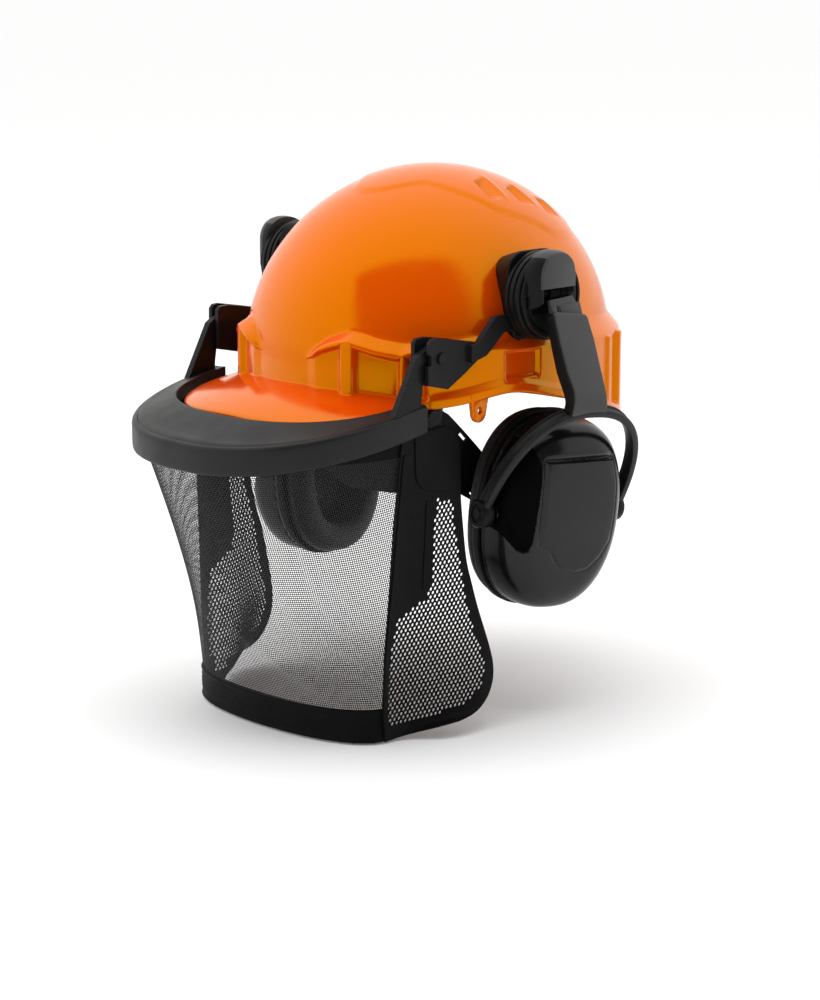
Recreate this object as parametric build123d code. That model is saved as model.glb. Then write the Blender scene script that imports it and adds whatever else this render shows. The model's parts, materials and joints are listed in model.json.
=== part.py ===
from build123d import *
import os, math

# Forestry helmet: hard shell with suspension, flip-up mesh visor with side wings,
# and an ear muff on a jointed arm at each side.
# Frame: +X wearer's left, -Y the way the wearer faces, +Z up; origin at the
# centre of the headband's lower plane, where a head sits. Millimetres.

os.makedirs("parts", exist_ok=True)

# ---------------------------------------------------------------- shell
DOME_A, DOME_B, DOME_C = 100.5, 123.0, 111.2     # outer semi-axes X, Y, Z
DOME_Y, DOME_Z = 6.9, 21.6                       # centre of the dome
WALL = 2.6
BAND = 6.0                                       # how far the lower band stands proud
LEDGE_Z = 38.0                                   # top of the band
BAND_FRONT_X = 51.5                              # the band stops at a rib each side of the forehead
LIP_H, LIP_OUT = 7.5, 2.4                        # rolled rim
RIM = [(-100, 2.2), (-88, 1.6), (-77, 1.8), (-59, 4.0), (-40, 7.6), (-28, 8.8), (-14, 7.2),
       (0, 3.9), (19, -0.6), (45, -8.5), (75, -17.5), (100, -24.5), (122, -28.5), (136, -30)]
BRIM_W, BRIM_Y0, BRIM_REACH, BRIM_E = 81.0, -70.0, 89.5, 2.6
BRIM_C, BRIM_R = (0, -70.0, -40.0), (126.3, 124.0, 58.1)
VENTS = [(44, 14, 17, 7.5), (42, 37, 17, 7.5), (48, 57, 15, 7)]
# ---------------------------------------------------------------- visor
PIN_Y, PIN_Z = -79.4, 34.6                       # visor hinge line, along X
PIN_R, PIN_PLAY = 3.0, 0.05
RIM_W, RIM_Y0, RIM_L, RIM_E = 95.35, -88.0, 111.2, 2.41
RIM_Z0, RIM_K = 8.2, 0.18
FRAME_H, FRAME_T = 16.5, 2.5
FRAME_IN_W, FRAME_IN_L = 84.0, 75.0
MESH_T = 1.0
MESH_TOP = dict(w=92.0, y0=-88.0, l=106.0, e=2.41, tm=86.6)
MESH_BOT = dict(w=79.5, y0=-118.0, l=20.5, e=2.1, tm=90.0)
HEM_Z0, HEM_Z1, HEM_T = -193.0, -173.0, 2.6
WING_P, WING_Q, WING_R = 92.93, 0.00435, 0.0661  # wing plane X = P + Q*Y + R*Z
WING_T = 1.4
# ---------------------------------------------------------------- ear muffs
HUB_Y, HUB_Z = -6.5, 65.0
DRUM_R, DRUM_X0, DRUM_X1 = 26.0, 102.0, 113.5
AXLE_R = 4.0
SWING = (121.0, -5.0, 69.0)                      # outward swing axis, along Y
LEAN = 15.0                                      # outward lean of the stem, degrees
BACK = 3.0                                       # rearward lean of the stem, degrees
STRIP_W, STRIP_T, STRIP_L = 25.0, 3.0, 46.0
STEM_W, STEM_T, STEM_S0, STEM_S1 = 32.0, 10.0, 12.6, 66.0
CUP_C = (105.0, 3.5, -66.0)
CUP_YAW, CUP_PITCH, CUP_TILT = -8.0, -5.0, 4.0
CUP_A, CUP_B, CUP_E = 44.0, 59.0, 2.4            # half width, half height, squareness
YOKE_TILT = 24.0
YOKE_IN, YOKE_OUT = (48.6, 71.0), (53.6, 77.0)
BOSS_R, CUP_PIN_R = 8.5, 3.0
# ---------------------------------------------------------------- suspension
BAND_A, BAND_B = 79.0, 99.0                      # headband ellipse, mid wall
BAND_Y = 5.0
NAPE_A, NAPE_B = 71.5, 95.0

nodes = {}


def sgn(v):
    return -1.0 if v < 0 else 1.0


def se(t, a, b, e):
    c, s = math.cos(t), math.sin(t)
    return a * sgn(c) * abs(c) ** (2 / e), b * sgn(s) * abs(s) ** (2 / e)


def se_wire(x, a, b, e, n=36):
    pts = []
    for i in range(n):
        y, z = se(2 * math.pi * (i + 0.5) / n, a, b, e)
        pts.append((x, y, z))
    return Wire([Spline(*pts, periodic=True).edge()])


def se_prism(x0, x1, a, b, e):
    f = Face(se_wire(x0, a, b, e))
    return Solid.extrude(f, Vector(x1 - x0, 0, 0))


def ellipsoid(c, r, g=0.0):
    s = scale(Sphere(1), by=(r[0] + g, r[1] + g, r[2] + g))
    return Pos(*c) * s


def dome(g):
    return ellipsoid((0, DOME_Y, DOME_Z), (DOME_A, DOME_B, DOME_C), g)


def ecyl(a, b, z0, z1, yc=DOME_Y):
    return Pos(0, yc, z0) * extrude(Ellipse(a, b), z1 - z0)


def block(x0, x1, y0, y1, z0, z1):
    return Pos((x0 + x1) / 2, (y0 + y1) / 2, (z0 + z1) / 2) * Box(x1 - x0, y1 - y0, z1 - z0)


def prism_x(pts, x0, x1):
    f = make_face(Polyline(*[(x0, y, z) for y, z in pts], close=True))
    return extrude(f, amount=x1 - x0, dir=(1, 0, 0))


def prism_z(pts, z0, z1):
    f = make_face(Polyline(*[(x, y, z0) for x, y in pts], close=True))
    return extrude(f, amount=z1 - z0, dir=(0, 0, 1))


def rim_prism(lo, hi, half=160):
    """Space between the rim curve shifted by lo and by hi, all the way across."""
    a = [(-200, RIM[0][1])] + RIM + [(200, RIM[-1][1])]
    low = Spline(*[(-half, y, z + lo) for y, z in a])
    top = Spline(*[(-half, y, z + hi) for y, z in a])
    l1 = Line(low @ 0, top @ 0)
    l2 = Line(low @ 1, top @ 1)
    f = make_face([low, top, l1, l2])
    return extrude(f, amount=2 * half, dir=(1, 0, 0))


def cyl_x(x0, x1, y, z, r):
    return Pos((x0 + x1) / 2, y, z) * Rot(0, 90, 0) * Cylinder(r, x1 - x0)


def both(name, shape):
    nodes[name + "_left"] = shape
    nodes[name + "_right"] = mirror(shape, about=Plane.YZ)


# ================================================================ shell
up = block(-200, 200, -260, 260, DOME_Z, 300)
front_gap = block(-BAND_FRONT_X, BAND_FRONT_X, -260, 0, -80, 80)
front_gap_in = block(-BAND_FRONT_X - WALL, BAND_FRONT_X + WALL, -260, 0, -80, 80)
band_a, band_b = DOME_A + BAND, DOME_B + BAND

outer = (dome(0) & up) + ecyl(DOME_A, DOME_B, -45, DOME_Z)
outer = outer + (ecyl(band_a, band_b, -45, LEDGE_Z) - front_gap)
lip = (ecyl(band_a + LIP_OUT, band_b + LIP_OUT, -45, 40) & rim_prism(0, LIP_H)) & block(-200, 200, -92, 200, -60, 60)
outer = outer + lip
plan = []
for i in range(33):
    t = -math.pi / 2 + math.pi * i / 32
    s, c = math.sin(t), math.cos(t)
    plan.append((BRIM_W * sgn(s) * abs(s) ** (2 / BRIM_E), BRIM_Y0 - BRIM_REACH * abs(c) ** (2 / BRIM_E)))
brim_plan = Spline(*[(x, y, -60) for x, y in plan])
brim_face = make_face([brim_plan, Line(brim_plan @ 0, brim_plan @ 1)])
brim_prism = extrude(brim_face, amount=120, dir=(0, 0, 1))
brim = (brim_prism & (ellipsoid(BRIM_C, BRIM_R) - ellipsoid(BRIM_C, BRIM_R, -WALL))) & block(-200, 200, -300, -60, -39, 60)
inner = (dome(-WALL) & up) + ecyl(DOME_A - WALL, DOME_B - WALL, -60, DOME_Z)
inner = inner + (ecyl(band_a - WALL, band_b - WALL, -60, LEDGE_Z - WALL) - front_gap_in)
shell = (outer - rim_prism(-60, 0)) + brim
shell = shell - inner
# recess in the band below the arm mount, and the pocket behind the front ribs
for sx in (1, -1):
    # slot that takes the arm adapter's tongue
    shell = shell - block(*sorted((sx * 99.4, sx * 103.2)), HUB_Y - 13, HUB_Y + 13, 26, 60)
    # chin-strap lug under the rim
    lug = block(*sorted((sx * 92.6, sx * 96.6)), -58, -46, -4.5, 6) - block(*sorted((sx * 80, sx * 110)), -53.6, -50.4, -2.2, 3.0)
    shell = shell + lug
    for vy, (vx, vyy, lx, ly) in enumerate(VENTS):
        shell = shell - Pos(sx * vx, vyy, 110) * Rot(0, 0, sx * (4 + 10 * vy)) * Box(lx, ly, 80)
nodes["shell"] = shell

# ================================================================ suspension
strap_shell = (dome(-15.0) - dome(-16.4)) & block(-200, 200, -200, 200, 19, 300)
cross = Box(20, 400, 600)
for ang in (58, -58):
    cross = cross + Rot(0, 0, ang) * Box(20, 400, 600)
cross = Pos(0, DOME_Y, 0) * cross
nodes["crown_straps"] = strap_shell & cross

headband = ecyl(BAND_A + 0.8, BAND_B + 0.8, 0, 30, BAND_Y) - ecyl(BAND_A - 0.8, BAND_B - 0.8, -5, 40, BAND_Y)
# down tabs at the temples that take the nape strap's pegs
TAB_Y0, TAB_Y1 = -62, -48
tabs = (ecyl(BAND_A + 0.8, BAND_B + 0.8, -14, 0.5, BAND_Y) - ecyl(BAND_A - 0.8, BAND_B - 0.8, -20, 40, BAND_Y)) & block(-200, 200, TAB_Y0, TAB_Y1, -30, 30)
headband = headband + tabs
PEG_Y, PEG_Z, PEG_R = -55.0, -7.0, 2.4
headband = headband - cyl_x(-120, 120, PEG_Y, PEG_Z, PEG_R)
nodes["headband"] = headband
nodes["sweatband"] = (ecyl(BAND_A - 1.1, BAND_B - 1.1, 1, 29, BAND_Y) - ecyl(BAND_A - 3.9, BAND_B - 3.9, -5, 40, BAND_Y)) & block(-200, 200, -200, 20, -30, 60)
# cut back over the temple tabs, where the nape strap slides
nodes["sweatband"] = nodes["sweatband"] - block(-200, 200, -76, -36, -10, 10)

clip_ring = ecyl(DOME_A - WALL - 0.3, DOME_B - WALL - 0.3, 10, 27, DOME_Y) - ecyl(BAND_A + 1.0, BAND_B + 1.0, -5, 60, BAND_Y)
clip_cross = Box(24, 400, 100)
for ang in (58, -58):
    clip_cross = clip_cross + Rot(0, 0, ang) * Box(24, 400, 100)
clip_cross = Pos(0, DOME_Y, 0) * clip_cross
nodes["cradle_clips"] = clip_ring & clip_cross

# nape strap: band cut from a ring by its side view
side = [(-70, 3), (-58, 4.5), (-40, -7.5), (-16, -34.5), (12, -51), (45, -60), (70, -63), (110, -63),
        (110, -91), (70, -90), (38, -88), (5, -80), (-23, -62.5), (-36, -54.5), (-52, -36), (-66, -16)]
nape = (ecyl(NAPE_A + 0.8, NAPE_B + 0.8, -110, 20, BAND_Y) - ecyl(NAPE_A - 0.8, NAPE_B - 0.8, -120, 30, BAND_Y)) & prism_x(side, -150, 150)
SLIDE = (0.0, -0.86, 0.51)                       # direction the nape strap tightens in
slot = block(-120, 120, -7.7, 7.7, -PEG_R - 0.35, PEG_R + 0.35)
slot = Pos(0, PEG_Y, PEG_Z) * Rot(math.degrees(math.atan2(SLIDE[2], -SLIDE[1])) * -1, 0, 0) * slot
nape = nape - slot
for (yy, zz, rr) in ((-31, -22, 40), (-20, -52.5, 35), (-24, -58.5, 35)):
    nape = nape - Pos(0, yy, zz) * Rot(rr, 0, 0) * Box(300, 2.2, 6)
nodes["nape_strap"] = nape
nodes["nape_pad"] = (ecyl(NAPE_A - 1.1, NAPE_B - 1.1, -88, -65, BAND_Y) - ecyl(NAPE_A - 6, NAPE_B - 6, -120, 30, BAND_Y)) & block(-45, 45, 50, 150, -100, 0)
peg = cyl_x(46.4, 66.5, PEG_Y, PEG_Z, PEG_R)
peg_head = cyl_x(45.0, 46.8, PEG_Y, PEG_Z, 4.2) + cyl_x(64.5, 67.5, PEG_Y, PEG_Z, 4.2)
pegs = peg + peg_head
nodes["headband_pegs"] = Compound([pegs, mirror(pegs, about=Plane.YZ)])

# ================================================================ arm mount in the shell's side slot
poly = [(HUB_Y - 30, 82), (HUB_Y - 25, 89), (HUB_Y - 12, 93.5), (HUB_Y + 12, 93.5), (HUB_Y + 25, 89), (HUB_Y + 30, 82),
        (HUB_Y + 22, 47), (HUB_Y + 16, LEDGE_Z + 0.6), (HUB_Y - 16, LEDGE_Z + 0.6), (HUB_Y - 22, 47)]
adapter = prism_x(poly, 70, 101.4) - dome(0.35)
adapter = adapter - block(60, 130, -100, 100, 0, LEDGE_Z + 0.5)
tongue = block(99.8, 101.4, HUB_Y - 12.5, HUB_Y + 12.5, 29, LEDGE_Z + 4)
adapter = adapter + tongue
# slot for the carrier arm's foot
adapter = adapter - block(96.7, 120, HUB_Y - 40, HUB_Y - 13.5, 44.6, 55.4)
adapter = adapter - cyl_x(60, 120, HUB_Y, HUB_Z, AXLE_R)
both("slot_adapter", adapter)

axle = cyl_x(94.0, 116.0, HUB_Y, HUB_Z, AXLE_R) + cyl_x(114.0, 116.0, HUB_Y, HUB_Z, 7.0)
both("hub_axle", axle)

# carrier arm: clevis of two cheeks, a web behind the hinge, a cranked link bar
cheek = [(-89, 44), (-87, 46.2), (-83, 46.6), (-39.5, 38.9), (-40.5, 36.2), (-50.7, 29.8), (-60, 24), (-74.3, 16.1), (-90, 19.9), (-90, 31.0), (-87.6, 31.4), (-87.6, 37.0), (-89.2, 37.4)]
cheek_in = [(-92, 44), (-90, 46.2), (-83, 46.6), (-62, 43), (-62, 23), (-74.3, 16.1), (-92, 19.9)]
carrier = prism_x(cheek, 95.2, 98.0) + prism_x(cheek_in, 85.6, 88.4)
web = [(-66, 43.6), (-45, 39.9), (-45, 33.4), (-50.7, 29.8), (-60, 24), (-66, 20.8)]
carrier = carrier + prism_x(web, 85.6, 98.0)
link = [(-58, 40), (-52, 41), (-38.3, 54.9), (-20.6, 54.9), (-20.6, 45.1), (-31, 45.1), (-41, 36.6), (-46, 32.8), (-58, 30)]
carrier = carrier + prism_x(link, 97.2, 101.2)
carrier = carrier - cyl_x(80, 110, PIN_Y, PIN_Z, PIN_R)
carrier = carrier - ecyl(band_a + 0.6, band_b + 0.6, -50, LEDGE_Z + 0.6) - dome(0.6)
both("carrier_arm", carrier)
pin = cyl_x(85.2, 98.2, PIN_Y, PIN_Z, PIN_R) + cyl_x(98.05, 99.6, PIN_Y, PIN_Z, 3.4) 
both("pivot_pin", pin)

# ================================================================ visor
def rim_plane_z(y):
    return RIM_Z0 + RIM_K * (y + 88.0)


def rim_curve(w, l, e, y0, dz, n=41):
    pts = []
    for i in range(n):
        t = -math.pi / 2 + math.pi * i / (n - 1)
        s, c = math.sin(t), math.cos(t)
        x = w * sgn(s) * abs(s) ** (2 / e)
        y = y0 - l * abs(c) ** (2 / e)
        pts.append((x, y, rim_plane_z(y) + dz))
    return pts


def arc_face(outer_pts, inner_pts):
    o, i = Spline(*outer_pts), Spline(*inner_pts)
    return make_face([o, i, Line(o @ 0, i @ 0), Line(o @ 1, i @ 1)])


def arc_wire(outer_pts, inner_pts):
    o, i = Spline(*outer_pts), Spline(*inner_pts)
    return Wire([o.edge(), Line(o @ 1, i @ 1).edge(), i.edge(), Line(i @ 0, o @ 0).edge()])


L = 110.0
shelf = Solid.extrude(arc_face(rim_curve(RIM_W, L, RIM_E, RIM_Y0, -FRAME_T), rim_curve(FRAME_IN_W, FRAME_IN_L, RIM_E, RIM_Y0, -FRAME_T)).face(), Vector(0, 0, FRAME_T))
wall = Solid.extrude(arc_face(rim_curve(RIM_W, L, RIM_E, RIM_Y0, -FRAME_H), rim_curve(RIM_W - FRAME_T, L - FRAME_T, RIM_E, RIM_Y0, -FRAME_H)).face(), Vector(0, 0, FRAME_H - 0.5))
lipi = Solid.extrude(arc_face(rim_curve(FRAME_IN_W + 2.2, FRAME_IN_L + 2.2, RIM_E, RIM_Y0, -FRAME_T - 3), rim_curve(FRAME_IN_W, FRAME_IN_L, RIM_E, RIM_Y0, -FRAME_T - 3)).face(), Vector(0, 0, 4))
vframe = Part() + shelf + wall + lipi
nodes["visor_frame"] = vframe

arm = prism_x([(-113, 3.2), (-92, 7.0), (-91.5, 13), (-90, 22), (-83, 27.8), (-79.4, 27.4), (-73, 31), (-72.2, 35), (-74, 39.5), (-79.4, 42), (-85.5, 41.2), (-91.5, 38.5), (-95.5, 36.0)], 89.5, 94.0)
arm = arm - cyl_x(80, 110, PIN_Y, PIN_Z, PIN_R + PIN_PLAY)
both("visor_arm", arm)


def mesh_pts(p, z, off, n=41):
    pts = []
    for i in range(n):
        t = math.radians(p["tm"]) * (2 * i / (n - 1) - 1)
        s, c = math.sin(t), math.cos(t)
        pts.append(((p["w"] + off) * sgn(s) * abs(s) ** (2 / p["e"]), p["y0"] - (p["l"] + off) * abs(c) ** (2 / p["e"]), z))
    return pts


def mesh_top(off):
    return [(x, y, rim_plane_z(y) - FRAME_T - 0.4) for x, y, z in mesh_pts(MESH_TOP, 0, off)]


vmesh = Solid.make_loft([arc_wire(mesh_top(0), mesh_top(-MESH_T)), arc_wire(mesh_pts(MESH_BOT, HEM_Z1, 0), mesh_pts(MESH_BOT, HEM_Z1, -MESH_T))], True)
nodes["visor_mesh"] = vmesh
hem_b = dict(MESH_BOT, w=MESH_BOT["w"] - 0.8, y0=MESH_BOT["y0"] - 2.0, l=MESH_BOT["l"] - 2.2)
hem = Solid.make_loft([arc_wire(mesh_pts(MESH_BOT, HEM_Z1 - 0.05, (HEM_T - MESH_T) / 2), mesh_pts(MESH_BOT, HEM_Z1 - 0.05, -(HEM_T + MESH_T) / 2)),
                       arc_wire(mesh_pts(hem_b, HEM_Z0, (HEM_T - MESH_T) / 2), mesh_pts(hem_b, HEM_Z0, -(HEM_T + MESH_T) / 2))], True)
nodes["visor_hem"] = hem

wing_side = [(-97.6, -8), (-72, -5), (-66, -9), (-60.5, -22), (-57, -40), (-54, -54), (-47, -85), (-36, -124), (-22, -160), (-20, -168),
             (-23, -179), (-32, -187), (-45, -190), (-117.6, -192.5), (-112, -140)]
wx = lambda y, z, o: WING_P + WING_Q * y + WING_R * z + o
wing_vol = prism_x(wing_side, 60, 110)
# slab on the slanted wing plane
n_w = Vector(1, -WING_Q, -WING_R).normalized()
c_w = Vector(wx(-60, -100, 0), -60, -100)
pl = Plane(origin=c_w, x_dir=(0, 1, 0), z_dir=n_w)
slab = pl * Box(400, 400, WING_T)
wing = wing_vol & slab
both("side_wing", wing)

pegs_v = []
for tdeg in (-66, -44, -22, 0, 22, 44, 66):
    t = math.radians(tdeg)
    s, c = math.sin(t), math.cos(t)
    x = RIM_W * sgn(s) * abs(s) ** (2 / RIM_E)
    y = RIM_Y0 - L * abs(c) ** (2 / RIM_E)
    x2, y2 = x * 0.955, RIM_Y0 + (y - RIM_Y0) * 0.955
    z = rim_plane_z(y) - 10.5
    d = Vector(x - x2, y - y2, 0).normalized()
    p = Plane(origin=(x, y, z), z_dir=d)
    pegs_v.append(p * Pos(0, 0, -4.2) * Cylinder(2.0, 6.4))
nodes["mesh_pegs"] = Compound([p.solid() for p in pegs_v])

# ================================================================ ear muff, left side (mirrored for the right)
drum = cyl_x(DRUM_X0, DRUM_X1, HUB_Y, HUB_Z, DRUM_R) 
drum = drum - cyl_x(DRUM_X0 + 3, DRUM_X1 + 1, HUB_Y, HUB_Z, 22.5)
drum = drum + cyl_x(DRUM_X0, DRUM_X1 - 1.5, HUB_Y, HUB_Z, 9)
drum = drum - cyl_x(90, 130, HUB_Y, HUB_Z, AXLE_R + 0.05)
both("arm_hub", drum)
washer = cyl_x(DRUM_X1 - 1.45, DRUM_X1 - 0.1, HUB_Y, HUB_Z, 11) - cyl_x(90, 130, HUB_Y, HUB_Z, AXLE_R + 0.3)
both("hub_spring", washer)

sx_, sy_, sz_ = SWING
CAP_HW, CAP_TOPC, CAP_X1 = 17.0, HUB_Z + 9.5, 127.2
cap_turn = Pos(0, sy_, HUB_Z) * Rot(BACK, 0, 0) * Pos(0, -sy_, -HUB_Z)
cap = block(113.6, CAP_X1, sy_ - CAP_HW, sy_ + CAP_HW, HUB_Z - 6, CAP_TOPC) + cyl_x(113.6, CAP_X1, sy_, CAP_TOPC, CAP_HW)
hollow = block(116.7, 125.2, sy_ - 13.7, sy_ + 13.7, HUB_Z - 30, CAP_TOPC + 0.5) + cyl_x(116.7, 125.2, sy_, CAP_TOPC, 13.7)
window = block(116.7, 140, sy_ - 13.2, sy_ + 13.2, HUB_Z - 30, HUB_Z + 6.5)
cap = cap_turn * (cap - hollow - window)
plate = cyl_x(113.6, 116.5, HUB_Y, HUB_Z, DRUM_R - 1.0)
cap = cap + plate
cap = cap - cyl_x(113, 116.3, HUB_Y, HUB_Z, 8.0)
swing_loc = Pos(*SWING) * Rot(BACK, 0, 0) * Rot(90, 0, 0)
cap = cap - swing_loc * Cylinder(2.5, 60)
both("hub_cap", cap)
both("swing_pin", swing_loc * Cylinder(2.5, 33.6))

# frame of the stem: local z down the stem, x outward, y rearward
stem_loc = Pos(*SWING) * Rot(BACK, 0, 0) * Rot(0, -LEAN, 0)


def sblock(x0, x1, y0, y1, s0, s1):
    return block(x0, x1, y0, y1, -s1, -s0)


strip = sblock(-STRIP_T / 2, STRIP_T / 2, -STRIP_W / 2, STRIP_W / 2, 0, STRIP_L)
strip = strip + Rot(90, 0, 0) * Cylinder(3.6, STRIP_W)
strip = strip - sblock(-5, 5, -STRIP_W / 2 + 5.0, -STRIP_W / 2 + 7.5, 8, 42)
strip = strip - Rot(90, 0, 0) * Cylinder(2.55, 60)
# gap in the barrel for the clamp spring's coils
strip = strip - sblock(-6, 6, -4.5, 4.5, -10, 6.2)
both("arm_rails", stem_loc * strip)

coil = None
for i in range(5):
    ring = Pos(0, 0, -2.8 + 1.4 * i) * Torus(3.4, 0.78)
    coil = ring if coil is None else coil + ring
both("clamp_spring", swing_loc * coil)

stem = sblock(-STEM_T / 2, STEM_T / 2, -STEM_W / 2, STEM_W / 2, STEM_S0, STEM_S1)
stem = fillet(stem.edges().filter_by(Axis.Z), 2.2)
stem = stem - sblock(-STRIP_T / 2 - 0.35, STRIP_T / 2 + 0.35, -STRIP_W / 2 - 0.35, STRIP_W / 2 + 0.35, STEM_S0 - 1, STEM_S1 - 6)
cup_loc = Pos(*CUP_C) * Rot(0, 0, CUP_YAW) * Rot(CUP_PITCH, 0, 0) * Rot(0, CUP_TILT, 0)
yoke_ring = se_prism(-4.5, 4.5, YOKE_OUT[0], YOKE_OUT[1], CUP_E) - se_prism(-6, 6, YOKE_IN[0], YOKE_IN[1], CUP_E)
yoke_ring = yoke_ring & block(-20, 20, -80, 80, 0, 120)
yoke = Rot(0, YOKE_TILT, 0) * yoke_ring
for s in (1, -1):
    yoke = yoke + Pos(0, s * 50.6, 0) * Rot(90, 0, 0) * Cylinder(BOSS_R, 7.6)
yoke = yoke - Rot(90, 0, 0) * Cylinder(CUP_PIN_R, 130)
yoke_row = cup_loc * yoke
both("stem", stem_loc * stem)
# the yoke's crown is a block that closes the stem's foot
foot = cup_loc * Rot(0, YOKE_TILT, 0) * block(-5.5, 5.0, -15, 15, 71.2, 80)
yoke_full = (yoke_row + foot) - (stem_loc * sblock(-STEM_T / 2 - 0.05, STEM_T / 2 + 0.05, -STEM_W / 2 - 0.05, STEM_W / 2 + 0.05, STEM_S0, STEM_S1 + 0.05))
both("yoke", yoke_full)
pins = []
for s in (1, -1):
    pins.append((Pos(0, s * 47.4, 0) * Rot(90, 0, 0) * Cylinder(CUP_PIN_R, 13.4)))
both("cup_pivots", cup_loc * Compound([p.solid() for p in pins]))

sections = [(-8.0, 1.0), (3.0, 1.0), (11.0, 0.975), (18.0, 0.905), (22.5, 0.80), (25.5, 0.64)]
cup_out = Solid.make_loft([se_wire(x, CUP_A * k, CUP_B * k, CUP_E) for x, k in sections])
cup_in = Solid.make_loft([se_wire(x, CUP_A * k - 2.8, CUP_B * k - 2.8, CUP_E) for x, k in [(-9, 1.0), (3.0, 1.0), (10.0, 0.975), (16.5, 0.90), (20.5, 0.79), (22.5, 0.68)]])
cup = cup_out - cup_in
for s in (1, -1):
    cup = cup + ((Pos(0, s * 40.4, 0) * Rot(90, 0, 0) * Cylinder(6.5, 6.0)))
cup = cup - Rot(90, 0, 0) * Cylinder(CUP_PIN_R + 0.05, 130)
both("cup_shell", cup_loc * cup)
panel = se_prism(25.6, 27.4, 24, 33, 4.0)
both("cup_panel", cup_loc * Pos(0, 2, -2) * panel)
ring = se_prism(-12.0, -8.1, 45.5, 60.5, CUP_E) - se_prism(-13, -7, 26, 40, CUP_E)
both("cup_ring", cup_loc * ring)
cushion = Solid.make_loft([se_wire(x, a, b, CUP_E) for x, a, b in ((-12.2, 44.0, 59.0), (-17, 45.0, 60.0), (-23, 43.5, 58.5), (-27, 38.5, 53.5))])
cushion = cushion - Solid.make_loft([se_wire(x, a, b, CUP_E) for x, a, b in ((-11.5, 25, 39), (-17, 22, 36), (-23, 23, 37), (-28, 28, 42))])
both("ear_cushion", cup_loc * cushion)
foam = Solid.make_loft([se_wire(x, a, b, CUP_E) for x, a, b in ((-4.5, 36.0, 50.5), (4.0, 36.0, 50.5), (9, 34.5, 49))])
both("cup_foam", cup_loc * foam)

MATS = {"shell": (0.9, 0.35, 0.02)}
for name, shape in nodes.items():
    shape.label = name
    export_step(shape, "parts/%s.step" % name)
print(len(nodes), "nodes")
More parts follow.
